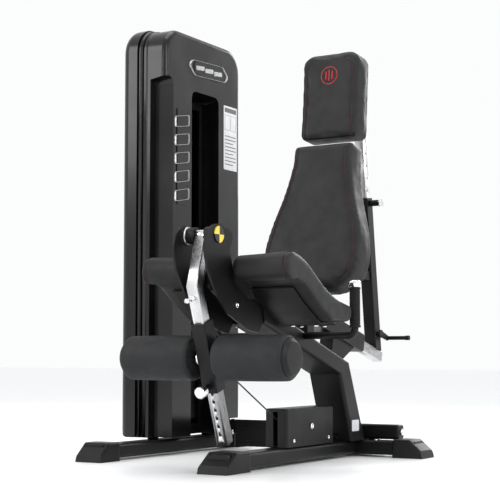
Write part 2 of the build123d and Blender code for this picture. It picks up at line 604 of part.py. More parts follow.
PAN_GAP, PAN_THICK = 1.0, 5.0
pan_line = [(178, 605.8), (252, 556), (364, 495), (478, 493)]
with BuildPart() as seat_pan:
    for lo, hi in ((70.2, 236), (-236, -70.2)):
        outline = [(y, z - PAN_GAP - 0.6) for y, z in pan_line]
        outline += [(y - 1, z - PAN_GAP - PAN_THICK - 1.4) for y, z in reversed(pan_line)]
        side_plate(outline, (lo, hi))
save(seat_pan, "seat_pan")

# ---------------------------------------------------------------- handles
GRIP_X, GRIP_Y = 280.0, 534.0
GRIP_RADIUS, HANDLE_RADIUS = 20.0, 12.5
HANDLE_Z, GRIP_LOW, GRIP_HIGH = 452.0, 478.0, 617.0
with BuildPart() as handlebars:
    for s in (-1, 1):
        with BuildLine() as route:
            FilletPolyline(at(s * 70.3, 560, HANDLE_Z), at(s * 205, 560, HANDLE_Z), at(s * GRIP_X, GRIP_Y, HANDLE_Z),
                           at(s * GRIP_X, GRIP_Y, GRIP_HIGH), radius=24)
        with BuildSketch(Plane(origin=route.line @ 0, z_dir=route.line % 0)):
            Circle(HANDLE_RADIUS)
        sweep(path=route.line)
save(handlebars, "handlebars")

with BuildPart() as hand_grips:
    for s in (-1, 1):
        rod((s * GRIP_X, GRIP_Y, GRIP_LOW), (s * GRIP_X, GRIP_Y, GRIP_HIGH), GRIP_RADIUS)
    fillet(hand_grips.edges().filter_by(GeomType.CIRCLE), 4)
    for s in (-1, 1):
        rod((s * GRIP_X, GRIP_Y, GRIP_LOW - 1), (s * GRIP_X, GRIP_Y, GRIP_HIGH + 1), HANDLE_RADIUS + 0.1,
            mode=Mode.SUBTRACT)
save(hand_grips, "hand_grips")

with BuildPart() as grip_caps:
    for s in (-1, 1):
        rod((s * GRIP_X, GRIP_Y, GRIP_HIGH + 0.2), (s * GRIP_X, GRIP_Y, GRIP_HIGH + 24), GRIP_RADIUS + 1)
    fillet(grip_caps.edges().filter_by(GeomType.CIRCLE).group_by(Axis.Z)[-1], 8)
save(grip_caps, "grip_caps")


# ---------------------------------------------------------------- backrest slide
def slide_point(distance, rise=0.0):
    """On the slide's centreline; distance runs down to the rear from its rear end."""
    return along(SLIDE_AT, SLIDE_SLOPE, distance, rise)


def slide_box(distances, half_rise, half_x, mode=Mode.ADD):
    d0, d1 = distances
    return side_plate([slide_point(d0, -half_rise), slide_point(d1, -half_rise), slide_point(d1, half_rise),
                       slide_point(d0, half_rise)], (-half_x, half_x), mode=mode)


slide_fall = math.tan(math.radians(SLIDE_SLOPE))
HOUSING_HALF = 35.0
half_tube = 20.0


def housing_bottom(y):
    return SLIDE_AT[1] + slide_fall * (SLIDE_AT[0] - y) - HOUSING_HALF / math.cos(math.radians(SLIDE_SLOPE))


with BuildPart() as slide_housing:
    slide_box((-656, -182), HOUSING_HALF, 40)
    fillet(slide_housing.edges().filter_by(lambda e: e.length > 300), 8)
    slide_box((-660, -178), half_tube + 0.4, half_tube + 0.4, mode=Mode.SUBTRACT)
    side_plate([(652, beam_top(652) + 0.3), (702, beam_top(702) + 0.3), (702, housing_bottom(702)),
                (652, housing_bottom(652))], (-30, 30))
    side_plate([(MITRE_HIGH - 70, beam_top(MITRE_HIGH - 70) + 0.3), (MITRE_HIGH - 2, beam_top(MITRE_HIGH - 2) + 0.3),
                (1030, housing_bottom(1030)), (860, housing_bottom(860))], (-28, 28))
save(slide_housing, "slide_housing")

with BuildPart() as slide_tube:
    slide_box((-560, 27), half_tube, half_tube)
    fillet(slide_tube.edges().filter_by(lambda e: e.length > 300), 3)
    slide_box((-561, 28), half_tube - 3, half_tube - 3, mode=Mode.SUBTRACT)
    for i in range(8):
        under = slide_point(-150 - i * 40, -30)
        rod((0, *slide_point(-150 - i * 40)), (0, *under), HOLE_RADIUS, mode=Mode.SUBTRACT)
save(slide_tube, "slide_tube")

lean = math.radians(POST_TILT)


def post_point(up, rear=0.0):
    """On the post's centreline, up from its foot, and square to it to the rear."""
    return (
        POST_FOOT[0] - up * math.sin(lean) + rear * math.cos(lean),
        POST_FOOT[1] + up * math.cos(lean) + rear * math.sin(lean),
    )


def post_box(ups, half_rear, half_x, mode=Mode.ADD):
    u0, u1 = ups
    return side_plate([post_point(u0, -half_rear), post_point(u0, half_rear), post_point(u1, half_rear),
                       post_point(u1, -half_rear)], (-half_x, half_x), mode=mode)


POST_HALF, POST_UP = 25.0, 576.0
PIN_UP = 555.0
HEAD_TUBE_HALF = 19.0
with BuildPart() as backrest_post:
    side_plate([post_point(-21.4, -POST_HALF), post_point(-41.6, POST_HALF), post_point(POST_UP, POST_HALF),
                post_point(POST_UP, -POST_HALF)], (-POST_HALF, POST_HALF))
    fillet(backrest_post.edges().filter_by(lambda e: e.length > 400), 4)
    post_box((40, POST_UP + 1), HEAD_TUBE_HALF + 0.4, HEAD_TUBE_HALF + 0.4, mode=Mode.SUBTRACT)
    rod((POST_HALF, *post_point(PIN_UP)), (POST_HALF + 42, *post_point(PIN_UP)), 12.5)
    rod((10, *post_point(PIN_UP)), (POST_HALF + 50, *post_point(PIN_UP)), 5 + RUNNING, mode=Mode.SUBTRACT)
    rod((POST_HALF, *post_point(30)), (POST_HALF + 10, *post_point(30)), 9)
save(backrest_post, "backrest_post")

with BuildPart() as slide_lever:
    rod((POST_HALF + 10.3, *post_point(30)), (POST_HALF + 16, *post_point(30)), 16)
    hub = post_point(30)
    tip = post_point(6, 62)
    side_plate([(hub[0], hub[1] + 13), (hub[0] - 3, hub[1] - 13), (tip[0] - 4, tip[1] - 11), (tip[0] + 8, tip[1] + 6)],
               (POST_HALF + 10.3, POST_HALF + 16))
    rod((POST_HALF + 14, *tip), (POST_HALF + 92, *tip), 8)
    rod((POST_HALF + 92, *tip), (POST_HALF + 108, *tip), 9.5)
save(slide_lever, "slide_lever")

# ---------------------------------------------------------------- backrest pad and its frame
pad_lean = math.radians(PAD_TILT)
PAD_DEPTH = 100.0
PAD_AT = (737.0, 800.0)


def pad_point(up, back=0.0):
    return (
        PAD_AT[0] + up * math.sin(pad_lean) + back * math.cos(pad_lean),
        PAD_AT[1] + up * math.cos(pad_lean) - back * math.sin(pad_lean),
    )


def pad_plane(up, back=0.0):
    """A plane across the backrest, looking back into it; sketches are (x, up the pad)."""
    return Plane(origin=at(0, *pad_point(up, back)), x_dir=(-1, 0, 0),
                 z_dir=(0, math.cos(pad_lean), -math.sin(pad_lean)))


PAD_LOW, PAD_HIGH = -178.0, 402.0
pad_side = [(122, PAD_HIGH), (130, 300), (152, 190), (188, 70), (204, -30), (192, -110), (150, -160)]
with BuildPart() as backrest_pad:
    with BuildSketch(pad_plane(0)):
        with BuildLine():
            Spline(*pad_side, (90, PAD_LOW))
            Line((90, PAD_LOW), (-90, PAD_LOW))
            Spline((-90, PAD_LOW), *[(-x, up) for x, up in reversed(pad_side)])
            Line((-122, PAD_HIGH), (122, PAD_HIGH))
        make_face()
    extrude(amount=PAD_DEPTH)
save(backrest_pad, "backrest_pad")


def standoff(up, post_up, half):
    """A square tube from the pad's backing plate to the post."""
    a = pad_point(up, PAD_DEPTH + 8.2)
    b = post_point(post_up, -POST_HALF - 0.2)
    lead = half * math.tan(pad_lean)
    drop = half * math.tan(lean)
    return side_plate([(a[0] - lead, a[1] - half), (b[0] + drop, b[1] - half), (b[0] - drop, b[1] + half),
                       (a[0] + lead, a[1] + half)], (-half, half))


with BuildPart() as pad_frame:
    with BuildSketch(pad_plane(110, PAD_DEPTH + 0.3)):
        RectangleRounded(190, 440, 30)
    extrude(amount=8)
    standoff(200, 500, 18)
    standoff(-60, 265, 18)
save(pad_frame, "pad_frame")

# ---------------------------------------------------------------- headrest
with BuildPart() as headrest_tube:
    post_box((330, 975), HEAD_TUBE_HALF, HEAD_TUBE_HALF)
    fillet(headrest_tube.edges().filter_by(lambda e: e.length > 400), 3)
    post_box((329, 976), HEAD_TUBE_HALF - 3, HEAD_TUBE_HALF - 3, mode=Mode.SUBTRACT)
    for i in range(12):
        spot = post_point(PIN_UP - 150 + i * 50)
        rod((5, *spot), (40, *spot), 5 + RUNNING, mode=Mode.SUBTRACT)
save(headrest_tube, "headrest_tube")

HEADREST_TILT = math.radians(5)
HEADREST_AT = (874.0, 1196.0)
HEADREST_DEPTH, HEADREST_TALL, HEADREST_HALF = 92.0, 350.0, 123.0


def head_point(up, back=0.0):
    return (
        HEADREST_AT[0] + up * math.sin(HEADREST_TILT) + back * math.cos(HEADREST_TILT),
        HEADREST_AT[1] + up * math.cos(HEADREST_TILT) - back * math.sin(HEADREST_TILT) + back * 0.09,
    )


head_face = Plane(origin=at(0, *HEADREST_AT), x_dir=(-1, 0, 0),
                  z_dir=(0, math.cos(HEADREST_TILT), -math.sin(HEADREST_TILT)))
with BuildPart() as headrest_pad:
    with BuildSketch(head_face):
        with Locations((0, HEADREST_TALL / 2 + 10)):
            Rectangle(2 * HEADREST_HALF, HEADREST_TALL - 8)
    extrude(amount=HEADREST_DEPTH)
    corners = headrest_pad.edges().filter_by(lambda e: abs(e.tangent_at(0.5).Y) > 0.9)
    fillet(corners.sort_by(Axis.Z)[-2:], 52)
    fillet(headrest_pad.edges().filter_by(lambda e: abs(e.tangent_at(0.5).Y) > 0.9).sort_by(Axis.Z)[:2], 22)
save(headrest_pad, "headrest_pad")

BRACKET_UP = 925.0
bracket_end = post_point(BRACKET_UP, -HEAD_TUBE_HALF - 0.2)
plate_back = head_point(bracket_end[1] - HEADREST_AT[1], HEADREST_DEPTH)
with BuildPart() as headrest_bracket:
    with BuildSketch(head_face.offset(HEADREST_DEPTH + 0.3)):
        with Locations((0, 190)):
            RectangleRounded(150, 150, 16)
    extrude(amount=5)
    side_plate([(plate_back[0] + 5, bracket_end[1] - 26), (bracket_end[0] + 2.9, bracket_end[1] - 22),
                (bracket_end[0] - 2.6, bracket_end[1] + 22), (plate_back[0] + 5, bracket_end[1] + 26)], (-19, 19))
    rod((19, plate_back[0] + 60, bracket_end[1]), (34, plate_back[0] + 60, bracket_end[1]), 17)
save(headrest_bracket, "headrest_bracket")

with BuildPart() as headrest_pin:
    rod((HEAD_TUBE_HALF + 0.3, *post_point(PIN_UP)), (POST_HALF + 48, *post_point(PIN_UP)), 5)
    rod((POST_HALF + 43, *post_point(PIN_UP)), (POST_HALF + 52, *post_point(PIN_UP)), 19)
    fillet(headrest_pin.edges().filter_by(GeomType.CIRCLE).filter_by(lambda e: e.radius > 15), 3)
save(headrest_pin, "headrest_pin")

# ---------------------------------------------------------------- pulley box, pulleys and cables
AXLE_PULLEY = 6.0
PULLEY_HALF = 6.0
with BuildPart() as pulley_box:
    block((-half_bar, half_bar), (470, 830), (62, 197))
    fillet(pulley_box.edges().filter_by(Axis.Z), 16)
    fillet(pulley_box.edges().group_by(Axis.Z)[-1], 6)
    block((-half_bar + 4, half_bar - 4), (476, 824), (61, 192), mode=Mode.SUBTRACT)
    block((-9, 9), (460, 480), (61, 186), mode=Mode.SUBTRACT)
    block((-9, 9), (820, 840), (61, 96), mode=Mode.SUBTRACT)
save(pulley_box, "pulley_box")


CORNER = (-CORNER_RADIUS, CROSS_Y - CORNER_RADIUS)
RUN_Z = BOX_PULLEY[1] - BOX_PULLEY[2]
LOW_X = STACK_X + LOW_RADIUS
pulley_places = {
    "box_pulley": ((0, BOX_PULLEY[0], BOX_PULLEY[1]), (1, 0, 0), BOX_PULLEY[2]),
    "corner_pulley": ((*CORNER, RUN_Z), (0, 0, 1), CORNER_RADIUS),
    "tower_low_pulley": ((LOW_X, CROSS_Y, RUN_Z + LOW_RADIUS), (0, 1, 0), LOW_RADIUS),
    "top_rear_pulley": ((STACK_X, CROSS_Y - TOP_RADIUS, TOP_PULLEY_Z), (1, 0, 0), TOP_RADIUS),
    "top_front_pulley": ((STACK_X, STACK_Y + TOP_RADIUS, TOP_PULLEY_Z), (1, 0, 0), TOP_RADIUS),
}


def pulley(radius):
    """A grooved wheel about the Z axis; radius is the cable's own, round the pulley."""
    with BuildPart() as blank:
        Cylinder(radius + 5, 2 * PULLEY_HALF)
        Cylinder(AXLE_PULLEY + RUNNING, 40, mode=Mode.SUBTRACT)
        with BuildSketch(Plane.XZ):
            with Locations((radius + 5, 0)):
                Rectangle(10, 2 * CABLE_RADIUS + 0.8)
            with Locations((radius, 0)):
                Circle(CABLE_RADIUS + 0.4)
        revolve(axis=Axis.Z, mode=Mode.SUBTRACT)
    return blank.part


for name, (centre, normal, radius) in pulley_places.items():
    with BuildPart() as wheel:
        add(pulley(radius).moved(Plane(origin=at(*centre), z_dir=normal).location))
    save(wheel, name)

with BuildPart() as pulley_brackets:
    for s in (-1, 1):
        block(sorted((s * 8.5, s * 13)), (628, 672), (60.2, 152))
        block(sorted((STACK_X + s * 8.5, STACK_X + s * 13)), (892, 1066), (CROWN_Z + 36, 1616))
        block((LOW_X - 16, LOW_X + 16), sorted((CROSS_Y + s * 6.6, CROSS_Y + s * 8.6)), (BAR_TOP + 0.2, RUN_Z + 58))
    rod((-14, BOX_PULLEY[0], BOX_PULLEY[1]), (14, BOX_PULLEY[0], BOX_PULLEY[1]), AXLE_PULLEY)
    rod((LOW_X, CROSS_Y - 8.6, RUN_Z + LOW_RADIUS), (LOW_X, CROSS_Y + 8.6, RUN_Z + LOW_RADIUS), AXLE_PULLEY)
    for y in (CROSS_Y - TOP_RADIUS, STACK_Y + TOP_RADIUS):
        rod((STACK_X - 14, y, TOP_PULLEY_Z), (STACK_X + 14, y, TOP_PULLEY_Z), AXLE_PULLEY)
    rod((*CORNER, BAR_TOP + 0.2), (*CORNER, RUN_Z + 9), AXLE_PULLEY)
    rod((*CORNER, BAR_TOP + 0.2), (*CORNER, RUN_Z - 7), 9)
save(pulley_brackets, "pulley_brackets")

gap_y = BOX_PULLEY[0] - ANCHOR_END[0]
gap_z = BOX_PULLEY[1] - ANCHOR_END[1]
span = math.hypot(gap_y, gap_z)
bearing = math.atan2(gap_z, gap_y) - math.asin(BOX_PULLEY[2] / span)
TOUCH = (BOX_PULLEY[0] + BOX_PULLEY[2] * math.sin(bearing), BOX_PULLEY[1] - BOX_PULLEY[2] * math.cos(bearing))
half_turn = bearing / 2
MID = (BOX_PULLEY[0] + BOX_PULLEY[2] * math.sin(half_turn), BOX_PULLEY[1] - BOX_PULLEY[2] * math.cos(half_turn))

diag = math.sqrt(0.5)
with BuildPart() as cable_run:
    with BuildLine() as run:
        ThreePointArc(at(0, *TOUCH), at(0, *MID), at(0, BOX_PULLEY[0], RUN_Z))
        Line(at(0, BOX_PULLEY[0], RUN_Z), at(0, CORNER[1], RUN_Z))
        ThreePointArc(at(0, CORNER[1], RUN_Z),
                      at(CORNER[0] + CORNER_RADIUS * diag, CORNER[1] + CORNER_RADIUS * diag, RUN_Z),
                      at(CORNER[0], CROSS_Y, RUN_Z))
        Line(at(CORNER[0], CROSS_Y, RUN_Z), at(LOW_X, CROSS_Y, RUN_Z))
        ThreePointArc(at(LOW_X, CROSS_Y, RUN_Z),
                      at(LOW_X - LOW_RADIUS * diag, CROSS_Y, RUN_Z + LOW_RADIUS * (1 - diag)),
                      at(STACK_X, CROSS_Y, RUN_Z + LOW_RADIUS))
        Line(at(STACK_X, CROSS_Y, RUN_Z + LOW_RADIUS), at(STACK_X, CROSS_Y, TOP_PULLEY_Z))
        rear_top = CROSS_Y - TOP_RADIUS
        ThreePointArc(at(STACK_X, CROSS_Y, TOP_PULLEY_Z),
                      at(STACK_X, rear_top + TOP_RADIUS * diag, TOP_PULLEY_Z + TOP_RADIUS * diag),
                      at(STACK_X, rear_top, TOP_PULLEY_Z + TOP_RADIUS))
        front_top = STACK_Y + TOP_RADIUS
        Line(at(STACK_X, rear_top, TOP_PULLEY_Z + TOP_RADIUS), at(STACK_X, front_top, TOP_PULLEY_Z + TOP_RADIUS))
        ThreePointArc(at(STACK_X, front_top, TOP_PULLEY_Z + TOP_RADIUS),
                      at(STACK_X, front_top - TOP_RADIUS * diag, TOP_PULLEY_Z + TOP_RADIUS * diag),
                      at(STACK_X, STACK_Y, TOP_PULLEY_Z))
    with BuildSketch(Plane(origin=run.line @ 0, z_dir=run.line % 0)):
        Circle(CABLE_RADIUS)
    sweep(path=run.line)
save(cable_run, "cable_run")

with BuildPart() as stack_cable:
    rod((STACK_X, STACK_Y, HEAD_LOW + 74.3), (STACK_X, STACK_Y, TOP_PULLEY_Z - 0.1), CABLE_RADIUS)
save(stack_cable, "stack_cable")

with BuildPart() as lever_cable:
    start = (ANCHOR_END[0] + 3.5 * math.cos(bearing), ANCHOR_END[1] + 3.5 * math.sin(bearing))
    rod((0, *start), (0, *TOUCH), CABLE_RADIUS)
save(lever_cable, "lever_cable")

# ---------------------------------------------------------------- fasteners
with BuildPart() as frame_bolts:
    for s in (-1, 1):
        for spot in ((400, 486.4), (460, 485.4)):
            for x in (110, 200):
                rod((s * x, spot[0], spot[1] - 7), (s * x, spot[0], spot[1] - 0.6), 8)
        rod((s * (PLATE_X[1] + 0.1), 108, 545), (s * (PLATE_X[1] + 6), 108, 545), 9)
        rod((s * (half_bar + 0.2), BOX_PULLEY[0], BOX_PULLEY[1]), (s * (half_bar + 6), BOX_PULLEY[0], BOX_PULLEY[1]), 11)
    for y in (520, 780):
        rod((half_bar + 0.2, y, 84), (half_bar + 4, y, 84), 7)
    rod((-549, cross_face - 18, 70), (-549, cross_face - 8.2, 70), 11)
    rod((190.2, CROSS_Y, 90), (196, CROSS_Y, 90), 12)
    for y in (REAR_BAR_Y - 26, REAR_BAR_Y + 8):
        rod((120, y, BAR_TOP + 0.1), (120, y, BAR_TOP + 5), 8)
save(frame_bolts, "frame_bolts")
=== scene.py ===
import bpy
import bmesh
import json
import math
import numpy as np
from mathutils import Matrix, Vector
from mathutils.bvhtree import BVHTree
from mathutils.kdtree import KDTree


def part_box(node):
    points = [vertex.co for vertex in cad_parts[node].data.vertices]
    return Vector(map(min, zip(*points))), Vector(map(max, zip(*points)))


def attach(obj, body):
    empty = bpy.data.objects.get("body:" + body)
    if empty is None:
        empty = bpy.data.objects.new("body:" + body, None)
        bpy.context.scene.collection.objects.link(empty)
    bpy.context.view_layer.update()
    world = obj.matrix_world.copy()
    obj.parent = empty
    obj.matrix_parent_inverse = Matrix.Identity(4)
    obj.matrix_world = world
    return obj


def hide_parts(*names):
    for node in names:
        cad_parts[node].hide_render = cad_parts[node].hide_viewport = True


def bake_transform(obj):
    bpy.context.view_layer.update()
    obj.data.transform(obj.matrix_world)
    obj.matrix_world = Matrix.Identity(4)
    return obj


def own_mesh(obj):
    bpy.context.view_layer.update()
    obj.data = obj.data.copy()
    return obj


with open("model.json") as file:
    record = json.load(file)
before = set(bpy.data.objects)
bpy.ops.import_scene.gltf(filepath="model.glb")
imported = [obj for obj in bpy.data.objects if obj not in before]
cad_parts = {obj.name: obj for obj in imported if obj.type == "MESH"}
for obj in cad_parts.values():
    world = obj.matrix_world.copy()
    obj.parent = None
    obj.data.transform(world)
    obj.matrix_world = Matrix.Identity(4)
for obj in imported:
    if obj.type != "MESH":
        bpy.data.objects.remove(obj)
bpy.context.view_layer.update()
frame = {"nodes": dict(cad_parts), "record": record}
NODES = frame["nodes"]


# ---------------------------------------------------------------- places, read from the frame
def centre(node):
    low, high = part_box(node)
    return (low + high) / 2


PIVOT = centre("knee_shaft")
MID_X = PIVOT.x


def seat_place(x, y, z):
    """A point x from the seat's mid-plane, y behind the knee axis and z up, in metres."""
    return Vector((MID_X + x, PIVOT.y + y, z))


# ---------------------------------------------------------------- camera, light and floor
CAMERA_FROM_PIVOT = Vector((2.256, -3.441, -0.389))
CAMERA_YAW, CAMERA_PITCH = math.radians(31.1), math.radians(4.75)

camera_data = bpy.data.cameras.new("camera")
camera_data.lens = 92.45
camera_data.sensor_width = 36
camera = bpy.data.objects.new("camera", camera_data)
bpy.context.scene.collection.objects.link(camera)
camera.location = PIVOT + CAMERA_FROM_PIVOT
camera.rotation_euler = (math.pi / 2 + CAMERA_PITCH, 0, CAMERA_YAW)
bpy.context.scene.camera = camera


def area_light(name, place, aim, size, power, tall=None):
    data = bpy.data.lights.new(name, "AREA")
    data.energy = power
    data.size = size
    if tall:
        data.shape = "RECTANGLE"
        data.size_y = tall
    light = bpy.data.objects.new(name, data)
    bpy.context.scene.collection.objects.link(light)
    light.location = place
    light.rotation_euler = (Vector(aim) - Vector(place)).to_track_quat("-Z", "Y").to_euler()
    return light


area_light("key_left", (-3.2, -3.4, 3.0), (-0.2, 0, 0.9), 1.6, 60, 2.6)
area_light("fill_right", (3.6, -1.6, 2.4), (0.1, 0, 0.8), 0.9, 42, 2.6)
area_light("top", (0, 0.2, 4.2), (0, 0, 0.6), 2.4, 50)
area_light("rim_back", (0.4, 4.2, 2.6), (0, 0, 1.0), 1.6, 60, 2.2)
area_light("strip_front", (-0.6, -4.6, 1.4), (-0.3, 0, 1.0), 0.3, 45, 2.8)
area_light("strip_right", (4.4, 1.6, 1.6), (-0.4, 0.2, 1.0), 0.35, 40, 3.0)

world = bpy.data.worlds.new("studio")
bpy.context.scene.world = world
world.use_nodes = True
world.node_tree.nodes["Background"].inputs["Color"].default_value = (0.99, 0.995, 1.0, 1)
world.node_tree.nodes["Background"].inputs["Strength"].default_value = 0.98
bpy.context.scene.view_settings.view_transform = "Standard"

bpy.ops.mesh.primitive_plane_add(size=60, location=(0, 0, -0.0005))
floor = bpy.context.object
floor.name = "floor"


# ---------------------------------------------------------------- materials
def new_material(name, colour, roughness, metallic=0.0, **sockets):
    material = bpy.data.materials.new(name)
    material.use_nodes = True
    shader = material.node_tree.nodes["Principled BSDF"]
    shader.inputs["Base Color"].default_value = (*colour, 1)
    shader.inputs["Roughness"].default_value = roughness
    shader.inputs["Metallic"].default_value = metallic
    for socket, value in sockets.items():
        shader.inputs[socket.replace("_", " ")].default_value = value
    return material


def node(material, kind, **values):
    made = material.node_tree.nodes.new(kind)
    for name, value in values.items():
        made.inputs[name.replace("_", " ")].default_value = value
    return made


def link(material, a, b):
    material.node_tree.links.new(a, b)


def shader_of(material):
    return material.node_tree.nodes["Principled BSDF"]


def place_texture(material, stretch=(1, 1, 1)):
    """Object coordinates, scaled unevenly where a grain runs one way."""
    coordinates = node(material, "ShaderNodeTexCoord")
    mapping = node(material, "ShaderNodeMapping")
    mapping.inputs["Scale"].default_value = stretch
    link(material, coordinates.outputs["Object"], mapping.inputs["Vector"])
    return mapping.outputs["Vector"]


def add_noise(material, scale, detail=4.0, stretch=(1, 1, 1)):
    noise = node(material, "ShaderNodeTexNoise", Scale=scale, Detail=detail)
    link(material, place_texture(material, stretch), noise.inputs["Vector"])
    return noise.outputs["Fac"]


def vary(material, socket, value, low, high):
    """Drives a shader socket between two numbers by a texture."""
    spread = node(material, "ShaderNodeMapRange", From_Min=0.3, From_Max=0.7, To_Min=low, To_Max=high)
    link(material, value, spread.inputs["Value"])
    link(material, spread.outputs["Result"], shader_of(material).inputs[socket])


def vary_colour(material, value, dark, light):
    ramp = node(material, "ShaderNodeValToRGB")
    ramp.color_ramp.elements[0].position = 0.32
    ramp.color_ramp.elements[0].color = (*dark, 1)
    ramp.color_ramp.elements[1].position = 0.7
    ramp.color_ramp.elements[1].color = (*light, 1)
    link(material, value, ramp.inputs["Fac"])
    link(material, ramp.outputs["Color"], shader_of(material).inputs["Base Color"])


def bump(material, *layers):
    """Stacks bump layers of (height, strength, distance)."""
    normal = None
    for height, strength, distance in layers:
        made = node(material, "ShaderNodeBump", Strength=strength, Distance=distance)
        link(material, height, made.inputs["Height"])
        if normal:
            link(material, normal, made.inputs["Normal"])
        normal = made.outputs["Normal"]
    link(material, normal, shader_of(material).inputs["Normal"])


def powder_coat():
    m = new_material("satin_black_powder_coat", (0.006, 0.006, 0.0065), 0.4, Specular_IOR_Level=0.2)
    vary(m, "Roughness", add_noise(m, 9), 0.34, 0.48)
    vary_colour(m, add_noise(m, 5), (0.004, 0.004, 0.0044), (0.008, 0.008, 0.0085))
    bump(m, (add_noise(m, 900, 2), 0.12, 0.0002), (add_noise(m, 60, 2), 0.05, 0.0004))
    return m


def gloss_plastic():
    m = new_material("gloss_black_plastic", (0.003, 0.003, 0.0035), 0.16, Specular_IOR_Level=0.38)
    vary(m, "Roughness", add_noise(m, 6), 0.14, 0.24)
    vary_colour(m, add_noise(m, 3), (0.002, 0.002, 0.0023), (0.004, 0.004, 0.0044))
    bump(m, (add_noise(m, 14, 2), 0.06, 0.0012), (add_noise(m, 700, 1), 0.03, 0.0001))
    return m


def moulded_plastic():
    m = new_material("moulded_black_plastic", (0.006, 0.006, 0.0065), 0.4, Specular_IOR_Level=0.22)
    vary(m, "Roughness", add_noise(m, 12), 0.34, 0.5)
    vary_colour(m, add_noise(m, 8), (0.004, 0.004, 0.0045), (0.008, 0.008, 0.009))
    bump(m, (add_noise(m, 500, 3), 0.22, 0.0003))
    return m


def leather_grain(m, scale):
    cells = node(m, "ShaderNodeTexVoronoi", Scale=scale)
    cells.feature = "DISTANCE_TO_EDGE"
    link(m, place_texture(m), cells.inputs["Vector"])
    return cells.outputs["Distance"]


def vinyl():
    m = new_material("black_grained_vinyl", (0.012, 0.012, 0.0125), 0.5, Specular_IOR_Level=0.24)
    vary(m, "Roughness", add_noise(m, 25), 0.42, 0.58)
    vary_colour(m, add_noise(m, 7), (0.009, 0.009, 0.0094), (0.0145, 0.0145, 0.015))
    bump(m, (leather_grain(m, 620), 0.2, 0.0003), (add_noise(m, 14, 2), 0.06, 0.0012))
    return m


def foam_skin():
    m = new_material("dark_grey_foam", (0.014, 0.0145, 0.0155), 0.6, Specular_IOR_Level=0.24)
    vary(m, "Roughness", add_noise(m, 40), 0.54, 0.66)
    vary_colour(m, add_noise(m, 18), (0.0115, 0.012, 0.013), (0.0165, 0.017, 0.018))
    bump(m, (add_noise(m, 1100, 3), 0.35, 0.0004), (add_noise(m, 18, 2), 0.06, 0.0012))
    return m


def rubber():
    m = new_material("black_rubber", (0.007, 0.007, 0.007), 0.62, Specular_IOR_Level=0.2)
    vary(m, "Roughness", add_noise(m, 50), 0.55, 0.72)
    bump(m, (add_noise(m, 800, 3), 0.3, 0.0003))
    return m


def chrome():
    m = new_material("polished_chrome", (0.78, 0.78, 0.8), 0.08, 1.0)
    vary(m, "Roughness", add_noise(m, 60), 0.05, 0.14)
    bump(m, (add_noise(m, 200, 1), 0.02, 0.0001))
    return m


def brushed(name, stretch):
    """Brushed steel; the stretch is small along the brushing."""
    m = new_material(name, (0.6, 0.6, 0.61), 0.3, 1.0)
    grain = add_noise(m, 500, 3, stretch)
    vary(m, "Roughness", grain, 0.22, 0.42)
    vary_colour(m, add_noise(m, 14), (0.52, 0.52, 0.53), (0.66, 0.66, 0.67))
    bump(m, (grain, 0.16, 0.0002))
    return m


def cast_iron():
    m = new_material("painted_cast_iron", (0.014, 0.014, 0.015), 0.5, 0.2, Specular_IOR_Level=0.3)
    vary_colour(m, add_noise(m, 20), (0.009, 0.009, 0.01), (0.02, 0.02, 0.022))
    bump(m, (add_noise(m, 180, 4), 0.45, 0.0008))
    return m


def nylon():
    m = new_material("pulley_nylon", (0.01, 0.01, 0.0105), 0.45, Specular_IOR_Level=0.25)
    vary(m, "Roughness", add_noise(m, 60), 0.38, 0.52)
    bump(m, (add_noise(m, 400, 2), 0.15, 0.0002))
    return m


def flat_paint(name, colour, roughness):
    m = new_material(name, colour, roughness)
    vary(m, "Roughness", add_noise(m, 40), roughness - 0.06, roughness + 0.08)
    vary_colour(m, add_noise(m, 25), tuple(c * 0.9 for c in colour), colour)
    bump(m, (add_noise(m, 600, 2), 0.08, 0.0001))
    return m


def thread():
    m = new_material("dark_red_thread", (0.07, 0.008, 0.012), 0.65, Specular_IOR_Level=0.2)
    vary_colour(m, add_noise(m, 300), (0.05, 0.006, 0.009), (0.1, 0.011, 0.016))
    bump(m, (add_noise(m, 2500, 2), 0.4, 0.0002))
    return m


def floor_paint():
    m = new_material("pale_floor", (0.93, 0.935, 0.94), 0.5)
    vary(m, "Roughness", add_noise(m, 3), 0.34, 0.46)
    return m


SATIN, GLOSS, MOULDED, VINYL = powder_coat(), gloss_plastic(), moulded_plastic(), vinyl()
FOAM, RUBBER, CHROME, IRON, NYLON = foam_skin(), rubber(), chrome(), cast_iron(), nylon()
BRUSHED_LEVER = brushed("brushed_steel_lever", (1, 1, 0.03))
BRUSHED_SLIDE = brushed("brushed_steel_slide", (1, 0.03, 1))
TURNED = brushed("turned_steel", (0.05, 1, 1))
YELLOW = flat_paint("marker_yellow", (0.85, 0.62, 0.06), 0.4)
MARKER_BLACK = flat_paint("marker_black", (0.01, 0.01, 0.01), 0.35)
SIGN = flat_paint("sign_light_grey", (0.62, 0.63, 0.64), 0.35)
SIGN_DARK = flat_paint("sign_dark_print", (0.06, 0.06, 0.065), 0.4)
BADGE_LINE = new_material("badge_bright_line", (0.42, 0.42, 0.43), 0.28, 0.9)
vary(BADGE_LINE, "Roughness", add_noise(BADGE_LINE, 80), 0.22, 0.36)
THREAD = thread()
floor.data.materials.append(floor_paint())

